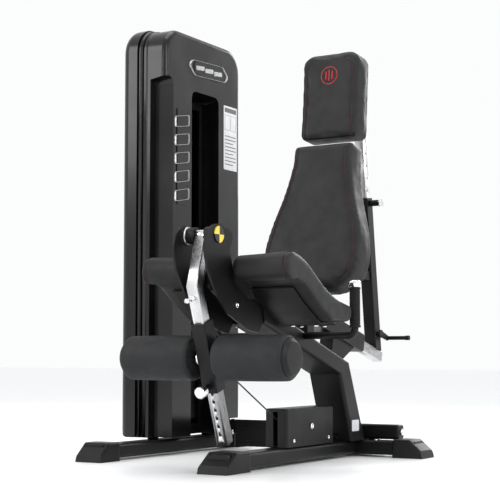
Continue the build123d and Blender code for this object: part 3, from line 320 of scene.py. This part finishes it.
FINISHES = {
    "satin_black": SATIN, "gloss_black": GLOSS, "moulded_black": MOULDED, "badge": GLOSS, "sign": SIGN,
    "marker": YELLOW, "vinyl": VINYL, "foam": FOAM, "grip_rubber": RUBBER, "chrome": CHROME,
    "brushed": BRUSHED_LEVER, "bearing_steel": TURNED, "cast_iron": IRON, "cable": RUBBER,
    "pulley_nylon": NYLON,
}
OWN_FINISH = {"slide_tube": BRUSHED_SLIDE}
ROUNDING = {    # metres
    "inner_shroud": 0.006, "outer_shroud": 0.001, "foot_caps": 0.002, "main_beam": 0.0015,
    "strut": 0.0015, "pivot_plates": 0.0015, "pulley_box": 0.001, "floor_bars": 0.001,
    "roller_sleeve": 0.0012, "slide_housing": 0.0015, "backrest_post": 0.001, "cross_covers": 0.0015,
    "cross_tube": 0.001, "lever_fittings": 0.0015, "slide_lever": 0.0015, "pad_frame": 0.002,
    "headrest_bracket": 0.0015, "seat_pan": 0.001, "shroud_badges": 0.0008, "sign_plates": 0.0004,
    "lifted_plates": 0.0015, "resting_plates": 0.0015, "head_plate": 0.0015,
}


def finish_cad_nodes():
    """Gives each carried-over CAD node its finish and smooth shading, and rounds those in ROUNDING."""
    for part in frame["record"]["subparts"]:
        name = part["node"]
        obj = NODES[name]
        obj.data.materials.clear()
        obj.data.materials.append(OWN_FINISH.get(name, FINISHES[part["material_slot"]]))
        weld = obj.modifiers.new("weld", "WELD")
        weld.merge_threshold = 1e-5
        if name in ROUNDING:
            edge = obj.modifiers.new("edges", "BEVEL")
            edge.width = ROUNDING[name]
            edge.segments = 3
            edge.limit_method = "ANGLE"
            edge.angle_limit = math.radians(35)
            edge.use_clamp_overlap = True
        smooth = obj.modifiers.new("shade", "WEIGHTED_NORMAL") if name in ROUNDING else None
        if smooth:
            smooth.keep_sharp = False
        obj.data.shade_smooth()


finish_cad_nodes()


# ---------------------------------------------------------------- building helpers
def new_piece(name, mesh, material, body, slot, *stands_for):
    """Links a mesh as a piece with the given material, riding on a body. The slot is not used."""
    piece = bpy.data.objects.new(name, mesh)
    bpy.context.scene.collection.objects.link(piece)
    if material:
        mesh.materials.append(material)
    if body:
        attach(piece, body)
    if stands_for:
        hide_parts(*stands_for)
    return piece


def mesh_from(bm, name, smooth=True):
    bmesh.ops.recalc_face_normals(bm, faces=bm.faces)
    mesh = bpy.data.meshes.new(name)
    bm.to_mesh(mesh)
    bm.free()
    if smooth:
        mesh.shade_smooth()
    return mesh


def axes_across(direction):
    """Two unit directions square to one direction."""
    ahead = Vector(direction).normalized()
    first = ahead.orthogonal().normalized()
    if abs(ahead.x) < 0.9:
        first = ahead.cross(Vector((1, 0, 0))).normalized()
    return first, ahead.cross(first).normalized()


def add_lathe(bm, profile, origin, axis, segments=48, ring=False, shape=None):
    """Turns (along, radius) points about an axis; ring joins last to first, shape alters a point."""
    origin, ahead = Vector(origin), Vector(axis).normalized()
    first, second = axes_across(ahead)
    loops = []
    for index, (along, radius) in enumerate(profile):
        loop = []
        for step in range(segments):
            angle = 2 * math.pi * step / segments
            here_along, here_radius = shape(index, angle, along, radius) if shape else (along, radius)
            spoke = first * math.cos(angle) + second * math.sin(angle)
            loop.append(bm.verts.new(origin + ahead * here_along + spoke * here_radius))
        loops.append(loop)
    pairs = list(zip(loops, loops[1:]))
    if ring:
        pairs.append((loops[-1], loops[0]))
    for low, high in pairs:
        for step in range(segments):
            after = (step + 1) % segments
            bm.faces.new((low[step], low[after], high[after], high[step]))
    if not ring:
        bm.faces.new(loops[0])
        bm.faces.new(loops[-1])


def add_tube(bm, points, radii, sides):
    """A tube through points, with a radius at each."""
    loops = []
    for index, point in enumerate(points):
        ahead = points[min(index + 1, len(points) - 1)] - points[max(index - 1, 0)]
        first, second = axes_across(ahead)
        loops.append([
            bm.verts.new(point + (first * math.cos(a) + second * math.sin(a)) * radii[index])
            for a in (2 * math.pi * k / sides for k in range(sides))
        ])
    for low, high in zip(loops, loops[1:]):
        for k in range(sides):
            after = (k + 1) % sides
            bm.faces.new((low[k], low[after], high[after], high[k]))
    bm.faces.new(loops[0])
    bm.faces.new(loops[-1])


def rounded_profile(low, high, radius, corner, inner, crown=0.0, steps=6):
    """(along, radius) points of a roll with rounded outer corners and a bore."""
    points = [(low, inner), (low, radius - corner)]
    for step in range(1, steps + 1):
        turn = math.pi / 2 * step / steps
        points.append((low + corner * (1 - math.cos(turn)), radius - corner * (1 - math.sin(turn))))
    length = high - low - 2 * corner
    for step in range(1, 12):
        share = step / 12
        points.append((low + corner + length * share, radius + crown * math.sin(math.pi * share)))
    for step in range(steps, -1, -1):
        turn = math.pi / 2 * step / steps
        points.append((high - corner * (1 - math.cos(turn)), radius - corner * (1 - math.sin(turn))))
    points.append((high, inner))
    return points


# ---------------------------------------------------------------- upholstered pads
CLOTH_FRAMES = 20


def bake(obj):
    """Puts what the modifiers make into the mesh and takes them off."""
    evaluated = obj.evaluated_get(bpy.context.evaluated_depsgraph_get())
    made = bpy.data.meshes.new_from_object(evaluated)
    obj.modifiers.clear()
    obj.data = made


def read_points(mesh):
    """The places and normals of a mesh's vertices, as two arrays."""
    places, normals = (np.empty(len(mesh.vertices) * 3, np.float32) for _ in range(2))
    mesh.vertices.foreach_get("co", places)
    mesh.vertices.foreach_get("normal", normals)
    return places.reshape(-1, 3), normals.reshape(-1, 3)


def write_points(mesh, places):
    mesh.vertices.foreach_set("co", np.ascontiguousarray(places, np.float32).ravel())
    mesh.update()


def inflate(pad, cap, front):
    """Blows the pad up as cloth; no point moves further than cap, and the back stays put."""
    start, normals = read_points(pad.data)
    cloth = pad.modifiers.new("fill", "CLOTH")
    settings = cloth.settings
    settings.quality = 5
    settings.mass = 0.3
    settings.tension_stiffness = 25
    settings.compression_stiffness = 25
    settings.shear_stiffness = 6
    settings.bending_stiffness = 8
    settings.use_pressure = True
    settings.uniform_pressure_force = 4
    settings.effector_weights.gravity = 0
    cloth.collision_settings.use_collision = False
    scene = bpy.context.scene
    for number in range(1, CLOTH_FRAMES + 1):
        scene.frame_set(number)
    shown = pad.evaluated_get(bpy.context.evaluated_depsgraph_get())
    swollen, _ = read_points(shown.data)
    pad.modifiers.remove(cloth)
    scene.frame_set(1)
    move = swollen - start
    reach = np.linalg.norm(move, axis=1, keepdims=True)
    move *= np.minimum(1, cap / np.maximum(reach, 1e-9))
    facing = np.clip(0.55 + normals @ np.array(front, np.float32), 0, 1)
    write_points(pad.data, start + move * facing[:, None])


def soft_pad(node_name, front, voxel, shrink, cap, smoothing):
    """The CAD pad as a stuffed one: remeshed, softened, drawn in by shrink, inflated and smoothed."""
    mesh = NODES[node_name].data.copy()
    mesh.materials.clear()
    pad = bpy.data.objects.new(node_name + "_upholstery", mesh)
    bpy.context.scene.collection.objects.link(pad)
    remesh = pad.modifiers.new("skin", "REMESH")
    remesh.mode = "VOXEL"
    remesh.voxel_size = voxel
    soften = pad.modifiers.new("soften", "SMOOTH")
    soften.factor = 0.5
    soften.iterations = smoothing
    bake(pad)
    front = Vector(front).normalized()
    places, normals = read_points(pad.data)
    write_points(pad.data, places - normals * shrink)
    inflate(pad, cap, front)
    tighten = pad.modifiers.new("tighten", "SMOOTH")
    tighten.factor = 0.5
    tighten.iterations = 10
    finer = pad.modifiers.new("finer", "SUBSURF")
    finer.levels = 1
    finer.render_levels = 1
    bake(pad)
    pad.data.materials.clear()
    pad.data.materials.append(VINYL)
    pad.data.shade_smooth()
    return pad


def surface_of(pad):
    bm = bmesh.new()
    bm.from_mesh(pad.data)
    tree = BVHTree.FromBMesh(bm)
    bm.free()
    return tree


def project(tree, rays):
    """Where each (origin, direction) ray first meets the pad, as (point, normal)."""
    found = []
    for origin, direction in rays:
        place, normal, _, _ = tree.ray_cast(origin, direction)
        if place is not None:
            found.append((place, normal))
    return found


def even_steps(points, step):
    """Points at even spacing along a polyline, ends included."""
    out, carried = [points[0]], 0.0
    for before, after in zip(points, points[1:]):
        run = (after - before).length
        at = step - carried
        while at <= run and run > 0:
            out.append(before.lerp(after, at / run))
            at += step
        carried = run - (at - step)
    return out


def press_seam(pad, points, depth, width):
    """Draws the cover in along a line, as a sewn seam does."""
    fine = even_steps(points, 0.002)
    line = KDTree(len(fine))
    for index, point in enumerate(fine):
        line.insert(point, index)
    line.balance()
    places, normals = read_points(pad.data)
    distance = np.array([line.find(place)[2] for place in places])
    write_points(pad.data, places - normals * (depth * np.exp(-(distance / width) ** 2))[:, None])


STITCH, GAP, THREAD_RADIUS = 0.0075, 0.0035, 0.0011


def add_stitches(bm, tree, points):
    """Short raised threads along a line on the pad."""
    marks = even_steps(points, STITCH + GAP)
    for here, after in zip(marks, marks[1:]):
        ahead = (after - here).normalized()
        path = []
        for share in (0, 0.2, 0.5, 0.8, 1):
            place, normal, _, _ = tree.find_nearest(here + ahead * STITCH * share)
            lift = THREAD_RADIUS * (0.9 if 0 < share < 1 else -0.4)
            path.append(place + normal * lift)
        add_tube(bm, path, [THREAD_RADIUS * k for k in (0.5, 0.95, 1, 0.95, 0.5)], 6)


def sew(pad, seams, body, depth=0.0035, width=0.0045):
    """Presses the seams in, then stitches beside each one; seams is a list of (line, stitch line)."""
    for line, _ in seams:
        press_seam(pad, line, depth, width)
    tree = surface_of(pad)
    bm = bmesh.new()
    for _, line in seams:
        if line:
            add_stitches(bm, tree, line)
    name = pad.name.replace("upholstery", "stitching")
    return new_piece(name, mesh_from(bm, "stitches"), THREAD, body, "vinyl")


def along_curve(values, at):
    """The value at a place, read straight between (place, value) pairs."""
    values = sorted(values)
    if at <= values[0][0]:
        return values[0][1]
    for (a, low), (b, high) in zip(values, values[1:]):
        if at <= b:
            share = (at - a) / (b - a)
            return low + (high - low) * share
    return values[-1][1]


# The seat: a roll along the front, and a top that falls away to the back
ROLL = seat_place(0, 0.099, 0.665)
seat_low, seat_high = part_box("seat_cushion")
seat_half = (seat_high.x - seat_low.x) / 2


def seat_line(tree, x):
    """The seam round the roll and back along the top, at one x."""
    rays = []
    for step in range(27):
        angle = math.radians(-125 + 8 * step)
        out = Vector((0, -math.cos(angle), math.sin(angle)))
        rays.append((Vector((x, ROLL.y, ROLL.z)) + out * 0.3, -out))
    rear = seat_high.y - 0.03
    for step in range(1, 31):
        y = ROLL.y + 0.02 + (rear - ROLL.y - 0.02) * step / 30
        rays.append((Vector((x, y, seat_high.z + 0.1)), Vector((0, 0, -1))))
    return [place for place, _ in project(tree, rays)]


seat = soft_pad("seat_cushion", (0, -0.5, 1), voxel=0.0065, shrink=0.001, cap=0.007, smoothing=8)
seat_tree = surface_of(seat)
seat_seams = []
for side in (-1, 1):
    edge_x = MID_X + side * (seat_half - 0.02)
    seat_seams.append((seat_line(seat_tree, edge_x), seat_line(seat_tree, edge_x - side * 0.006)))
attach(seat, "root")
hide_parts("seat_cushion")
sew(seat, seat_seams, "root")


# The backrest: a shield-shaped pad on a lean
BACK_LEAN = math.radians(17.5)
BACK_HALF_WIDTHS = [
    (-0.178, 0.09), (-0.160, 0.15), (-0.110, 0.192), (-0.030, 0.204),
    (0.070, 0.188), (0.190, 0.152), (0.300, 0.130), (0.402, 0.122),
]


def leaning(base, lean):
    """A leaning pad's base point, and its up and front directions."""
    up = Vector((0, math.sin(lean), math.cos(lean)))
    front = Vector((0, -math.cos(lean), math.sin(lean)))
    return base, up, front


def pad_rays(frame_of_pad, places):
    """Rays at the pad's front from (across, up) places on it."""
    base, up, front = frame_of_pad
    start = base + front * 0.3
    return [(start + Vector((across, 0, 0)) + up * height, -front) for across, height in places]


def outline_places(widths, inset, top, bottom, step=0.012):
    """(across, up) places down one side of a symmetrical outline, a set distance inside its edge."""
    places, height = [], bottom + inset
    while height < top - inset:
        places.append((along_curve(widths, height) - inset, height))
        height += step
    return places


BACK = leaning(seat_place(0, 0.737, 0.800), BACK_LEAN)
backrest = soft_pad("backrest_pad", BACK[2], voxel=0.0065, shrink=-0.001, cap=0.007, smoothing=6)
back_tree = surface_of(backrest)
back_seams = []
for side in (-1, 1):
    pair = []
    for inset in (0.020, 0.026):
        places = [(side * a, u) for a, u in outline_places(BACK_HALF_WIDTHS, inset, 0.402, -0.165)]
        pair.append([p for p, _ in project(back_tree, pad_rays(BACK, places))])
    back_seams.append(tuple(pair))
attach(backrest, "backrest")
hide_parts("backrest_pad")
sew(backrest, back_seams, "backrest")


# The headrest: a rounded block with an embroidered ring
HEAD = leaning(seat_place(0, 0.874, 1.196), math.radians(5))
HEAD_HALF, HEAD_TALL, HEAD_CORNER = 0.123, 0.350, 0.052


def headrest_edge(inset, side):
    """(across, up) places up one side of the headrest and round its top corner."""
    half, radius = HEAD_HALF - inset, HEAD_CORNER - inset * 0.6
    step_up = 0.012
    count = int((HEAD_TALL - HEAD_CORNER - inset) / step_up)
    places = [(side * half, inset + step_up * k) for k in range(count)]
    for step in range(0, 7):
        turn = math.pi / 2 * step / 7
        across = half - radius * (1 - math.cos(turn))
        places.append((side * across, HEAD_TALL - inset - radius * (1 - math.sin(turn))))
    return places


headrest = soft_pad("headrest_pad", HEAD[2], voxel=0.0055, shrink=-0.001, cap=0.006, smoothing=6)
head_tree = surface_of(headrest)
head_seams = []
for side in (-1, 1):
    pair = []
    for inset in (0.020, 0.026):
        pair.append([p for p, _ in project(head_tree, pad_rays(HEAD, headrest_edge(inset, side)))])
    head_seams.append(tuple(pair))
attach(headrest, "headrest")
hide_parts("headrest_pad")
sew(headrest, head_seams, "headrest")


def embroidered_ring():
    """A plain ring with three short bars in it, in thread."""
    tree = surface_of(headrest)
    bm = bmesh.new()
    middle, outer = 0.262, 0.034
    lines = []
    turns = [math.radians(8 * k) for k in range(46)]
    ring = [(outer * math.cos(turn), middle + outer * math.sin(turn)) for turn in turns]
    lines.append((ring, 0.0018))
    for across in (-0.013, 0, 0.013):
        reach = 0.016 if across else 0.021
        lines.append(([(across, middle - reach + 2 * reach * k / 12) for k in range(13)], 0.0026))
    for places, radius in lines:
        hits = project(tree, pad_rays(HEAD, places))
        path = [p + n * radius * 0.25 for p, n in hits]
        add_tube(bm, path, [radius] * len(path), 8)
    return new_piece("headrest_embroidery", mesh_from(bm, "ring"), EMBROIDERY, "headrest", "vinyl")


EMBROIDERY = flat_paint("red_embroidery", (0.42, 0.016, 0.022), 0.55)
embroidered_ring()


# ---------------------------------------------------------------- rollers, grips and marker
def foam_roller(node_name, body, inner_end):
    """A covered foam roll: a slight crown, soft corners and gathers round the end nearer the lever."""
    low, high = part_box(node_name)
    middle = (low + high) / 2
    radius, length = (high.z - low.z) / 2, high.x - low.x
    profile = rounded_profile(-length / 2, length / 2, radius - 0.0015, 0.014, 0.019, 0.0012, 8)
    last = len(profile) - 1

    def gather(index, angle, along, here):
        end = index <= 1 if inner_end < 0 else index >= last - 1
        crease = 0.0012 * math.sin(22 * angle) + 0.0006 * math.sin(9 * angle + 1)
        if end and here > 0.03:
            return along - math.copysign(0.0015 + crease, along), here
        near_end = abs(abs(along) - length / 2) < 0.02 and along * inner_end > 0
        return along, here + (crease * 0.35 if near_end else 0.0)

    bm = bmesh.new()
    add_lathe(bm, profile, middle, (1, 0, 0), 96, True, gather)
    roll = new_piece(node_name + "_roll", mesh_from(bm, "roll"), FOAM, body, "foam", node_name)


foam_roller("right_roller_foam", "right_roller", 1 if centre("right_roller_foam").x < MID_X else -1)
foam_roller("left_roller_foam", "left_roller", 1 if centre("left_roller_foam").x < MID_X else -1)


def ribbed_grips():
    low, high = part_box("hand_grips")
    radius = (high.y - low.y) / 2
    tall = high.z - low.z
    ribs = 22
    profile = [(0, 0.013), (0, radius - 0.001), (0.002, radius), (0.007, radius)]
    profile += [(0.009, radius - 0.0025)]
    for rib in range(ribs):
        base = 0.011 + (tall - 0.022) * rib / ribs
        pitch = (tall - 0.022) / ribs
        profile += [(base, radius - 0.0024), (base + pitch * 0.3, radius - 0.0012)]
        profile += [(base + pitch * 0.7, radius - 0.0012)]
    profile += [(tall - 0.009, radius - 0.0025), (tall - 0.007, radius), (tall - 0.001, radius)]
    profile += [(tall, 0.013)]
    bm = bmesh.new()
    for x in (low.x + radius, high.x - radius):
        add_lathe(bm, profile, (x, (low.y + high.y) / 2, low.z), (0, 0, 1), 40, True)
    mesh = mesh_from(bm, "grips")
    new_piece("hand_grips_ribbed", mesh, RUBBER, "root", "grip_rubber", "hand_grips")


ribbed_grips()


def quartered_marker():
    """A round target in yellow and black quarters, on the pivot plate's face."""
    low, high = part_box("pivot_marker")
    middle, radius = (low + high) / 2, (high.z - low.z) / 2
    bm = bmesh.new()
    back, face = low.x - middle.x, high.x - middle.x
    profile = [(back, radius), (face - 0.0003, radius), (face, radius * 0.985)]
    profile += [(face, radius * share) for share in (0.75, 0.5, 0.25, 0.01)]
    add_lathe(bm, profile, middle, (1, 0, 0), 64)
    mesh = mesh_from(bm, "target", False)
    new_piece("pivot_target", mesh, YELLOW, "root", "marker", "pivot_marker")
    mesh.materials.append(MARKER_BLACK)
    for face in mesh.polygons:
        away = face.center - middle
        face.material_index = 1 if away.y * away.z > 0 else 0


quartered_marker()


# ---------------------------------------------------------------- bolts
def islands(mesh):
    """The separate solids in a mesh, as lists of faces."""
    bm = bmesh.new()
    bm.from_mesh(mesh)
    bmesh.ops.remove_doubles(bm, verts=bm.verts, dist=1e-6)
    left, found = set(bm.faces), []
    while left:
        queue = [left.pop()]
        group = list(queue)
        while queue:
            face = queue.pop()
            for edge in face.edges:
                for other in edge.link_faces:
                    if other in left:
                        left.remove(other)
                        queue.append(other)
                        group.append(other)
        found.append(group)
    return bm, found


def socket_heads():
    """Rounded socket screws where the CAD has plain heads."""
    source, groups = islands(NODES["frame_bolts"].data)
    bm = bmesh.new()
    for group in groups:
        area = {}
        for face in group:
            n = face.normal
            key = max((n, -n), key=lambda v: (round(v.x, 2), round(v.y, 2), round(v.z, 2)))
            name = tuple(round(c, 2) for c in key)
            total, direction = area.get(name, (0, key.copy()))
            area[name] = (total + face.calc_area(), direction)
        axis = max(area.values(), key=lambda pair: pair[0])[1]
        points = [v.co for face in group for v in face.verts]
        low = min(p.dot(axis) for p in points)
        high = max(p.dot(axis) for p in points)
        first, second = axes_across(axis)
        spread = [[p.dot(d) for p in points] for d in (first, second)]
        mid = [(min(s) + max(s)) / 2 for s in spread]
        radius = (max(spread[0]) - min(spread[0])) / 2
        middle = first * mid[0] + second * mid[1] + axis * (low + high) / 2
        half = (high - low) / 2
        cup = radius * 0.5
        one_end = [(half * 0.45, cup * 0.96), (half, cup), (half, radius * 0.66)]
        one_end += [(half * 0.9, radius * 0.86), (half * 0.62, radius * 0.98), (half * 0.3, radius)]
        profile = one_end + [(-a, r) for a, r in reversed(one_end)]

        def hexagon(index, angle, along, here):
            if here > cup * 1.01:
                return along, here
            turn = (angle + math.pi / 6) % (math.pi / 3) - math.pi / 6
            return along, here * 0.9 / math.cos(turn)

        add_lathe(bm, profile, middle, axis, 24, False, hexagon)
    source.free()
    new_piece("socket_screws", mesh_from(bm, "screws"), CHROME, "root", "chrome", "frame_bolts")


socket_heads()


# ---------------------------------------------------------------- cables
def cable_skin(name):
    m = new_material(name, (0.014, 0.014, 0.015), 0.42)
    vary(m, "Roughness", add_noise(m, 80), 0.36, 0.5)
    bump(m, (add_noise(m, 900, 2), 0.12, 0.0001))
    return m


CABLE = cable_skin("coated_cable")


def straight_points(start, end, count):
    return [start.lerp(end, k / (count - 1)) for k in range(count)]


CABLE_STEPS = 160
CABLE_RADIUS = 0.0026


def lever_cable():
    """The cable from the floor box to the lever, as a straight tube, with a turned sleeve at the lever
    end.
    """
    low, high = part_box("lever_cable")
    x = (low.x + high.x) / 2
    box_end, lever_end = Vector((x, high.y, low.z)), Vector((x, low.y, high.z))
    points = straight_points(box_end, lever_end, CABLE_STEPS)
    bm = bmesh.new()
    add_tube(bm, points, [CABLE_RADIUS] * len(points), 10)
    mesh = mesh_from(bm, "cable")
    cable = new_piece("lever_cable_line", mesh, CABLE, None, "cable", "lever_cable")
    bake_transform(cable)
    ahead = (box_end - lever_end).normalized()
    bm = bmesh.new()
    sleeve = [(0.004, 0.003), (0.005, 0.0052), (0.012, 0.0056), (0.013, 0.0048)]
    sleeve += [(0.024, 0.0048), (0.025, 0.0056), (0.034, 0.0052), (0.036, 0.003)]
    add_lathe(bm, sleeve, lever_end, ahead, 20)
    new_piece("lever_cable_sleeve", mesh_from(bm, "sleeve"), TURNED, "lever", "bearing_steel")


lever_cable()


def stack_cable():
    """The upright cable over the weights, as a straight tube."""
    low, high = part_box("stack_cable")
    x, y = (low.x + high.x) / 2, (low.y + high.y) / 2
    top, bottom = Vector((x, y, high.z)), Vector((x, y, low.z))
    points = straight_points(bottom, top, 60)
    bm = bmesh.new()
    add_tube(bm, points, [(high.x - low.x) / 2] * len(points), 10)
    cable = new_piece("stack_cable_line", mesh_from(bm, "cable"), CABLE, "root", "cable", "stack_cable")
    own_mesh(cable)


stack_cable()


# ---------------------------------------------------------------- badges, labels
def add_bar(bm, corners, depth):
    """A flat shape standing off its plane along +X; corners go round it."""
    back = [bm.verts.new(c) for c in corners]
    rim = [bm.verts.new(c + Vector((depth * 0.8, 0, 0))) for c in corners]
    middle = sum(corners, Vector()) / len(corners)
    shrink = 1 - depth * 0.4 / max((corners[0] - middle).length, 1e-6)
    face = [bm.verts.new(middle + (c - middle) * shrink + Vector((depth, 0, 0))) for c in corners]
    count = len(corners)
    for low, high in ((back, rim), (rim, face)):
        for k in range(count):
            after = (k + 1) % count
            bm.faces.new((low[k], low[after], high[after], high[k]))
    bm.faces.new(face)
    bm.faces.new(back)


def rounded_corners(corners, radius, steps=5):
    """Rounds the corners of a flat shape in the YZ plane."""
    out, count = [], len(corners)
    for k, corner in enumerate(corners):
        before = (corners[k - 1] - corner).normalized() * radius
        after = (corners[(k + 1) % count] - corner).normalized() * radius
        for step in range(steps + 1):
            t = step / steps
            out.append(corner + before * (1 - t) ** 2 + after * t ** 2)
    return out


def add_outline(bm, corners, width, depth):
    """A raised line round a flat shape in the YZ plane."""
    middle = sum(corners, Vector()) / len(corners)
    reach = sum((c - middle).length for c in corners) / len(corners)
    inner = [middle + (c - middle) * (1 - width / reach) for c in corners]
    up = Vector((depth, 0, 0))
    loops = [
        [bm.verts.new(c) for c in corners],
        [bm.verts.new(c.lerp(i, 0.25) + up) for c, i in zip(corners, inner)],
        [bm.verts.new(c.lerp(i, 0.75) + up) for c, i in zip(corners, inner)],
        [bm.verts.new(i) for i in inner],
    ]
    count = len(corners)
    for low, high in zip(loops, loops[1:] + loops[:1]):
        for k in range(count):
            after = (k + 1) % count
            bm.faces.new((low[k], low[after], high[after], high[k]))


def plates_of(node_name):
    """The boxes of the separate plates in a node, largest first."""
    source, groups = islands(NODES[node_name].data)
    boxes = []
    for group in groups:
        points = [v.co.copy() for face in group for v in face.verts]
        low = Vector([min(p[k] for p in points) for k in range(3)])
        high = Vector([max(p[k] for p in points) for k in range(3)])
        boxes.append((low, high))
    source.free()
    return sorted(boxes, key=lambda pair: -(pair[1].y - pair[0].y) * (pair[1].z - pair[0].z))


def slanted(x, y0, y1, z0, z1, lean):
    """A leaning block's corners, in order round it."""
    corners = [(y0, z0), (y1, z0 + lean), (y1, z1 + lean), (y0, z1)]
    return [Vector((x, y, z)) for y, z in corners]


def badge_relief():
    """Plain raised outlines on the name badge and the head badge: leaning blocks, and a lozenge."""
    bm = bmesh.new()
    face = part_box("inner_shroud")[1].x
    for low, high in plates_of("shroud_badges"):
        x, wide, tall = face, high.y - low.y, high.z - low.z
        raised = high.x - face + 0.002
        if tall > wide:
            blocks, rise = 5, 0.018
            pitch = (tall - 0.014) / blocks
            for block in range(blocks):
                z0 = low.z + 0.008 + pitch * block
                corners = slanted(x, low.y - 0.014, high.y + 0.014, z0, z0 + pitch * 0.86 - rise, rise)
                add_outline(bm, rounded_corners(corners, 0.009), 0.007, raised)
        else:
            middle = (low + high) / 2
            half_y, half_z = wide * 0.68, tall * 0.56
            ends = [(-1, 0), (-0.72, -1), (0.86, -0.7), (1, 0), (0.72, 1), (-0.86, 0.7)]
            corners = [Vector((x, middle.y + a * half_y, middle.z + b * half_z)) for a, b in ends]
            add_outline(bm, rounded_corners(corners, 0.014), 0.008, raised)
            for share in (-0.45, 0, 0.45):
                y = middle.y + share * half_y
                bar = slanted(x, y - 0.03, y + 0.03, middle.z - 0.012, middle.z + 0.006, 0.006)
                add_bar(bm, rounded_corners(bar, 0.004), raised)
    new_piece("badge_relief", mesh_from(bm, "relief", False), BADGE_LINE, "root", "badge")


badge_relief()


PRINT_DEPTH = 0.0006
SMALLEST_SIGN = 0.1     # a shorter plate is left blank


def sign_print():
    """Blank instruction panels: a dark heading, two picture frames and rows of plain lines."""
    bm = bmesh.new()
    for low, high in plates_of("sign_plates"):
        wide, tall = high.y - low.y, high.z - low.z
        x = high.x - 0.0002
        if tall < SMALLEST_SIGN:
            continue

        def block(y0, y1, z0, z1):
            """A level block on the plate, from shares of its width and height."""
            ys = [low.y + wide * share for share in (y0, y1)]
            zs = [low.z + tall * share for share in (z0, z1)]
            return slanted(x, *ys, *zs, 0)

        def panel(y0, y1, z0, z1):
            add_bar(bm, rounded_corners(block(y0, y1, z0, z1), 0.0015, 2), PRINT_DEPTH)

        def picture(y0, y1, z0, z1):
            add_outline(bm, rounded_corners(block(y0, y1, z0, z1), 0.003), 0.0018, PRINT_DEPTH)

        panel(0.06, 0.94, 0.9, 0.97)
        picture(0.08, 0.48, 0.62, 0.86)
        picture(0.52, 0.92, 0.62, 0.86)
        for row in range(9):
            z = 0.08 + 0.055 * row
            panel(0.08, 0.92 if row % 3 else 0.7, z, z + 0.014)
    new_piece("sign_print", mesh_from(bm, "print", False), SIGN_DARK, "root", "sign")


sign_print()
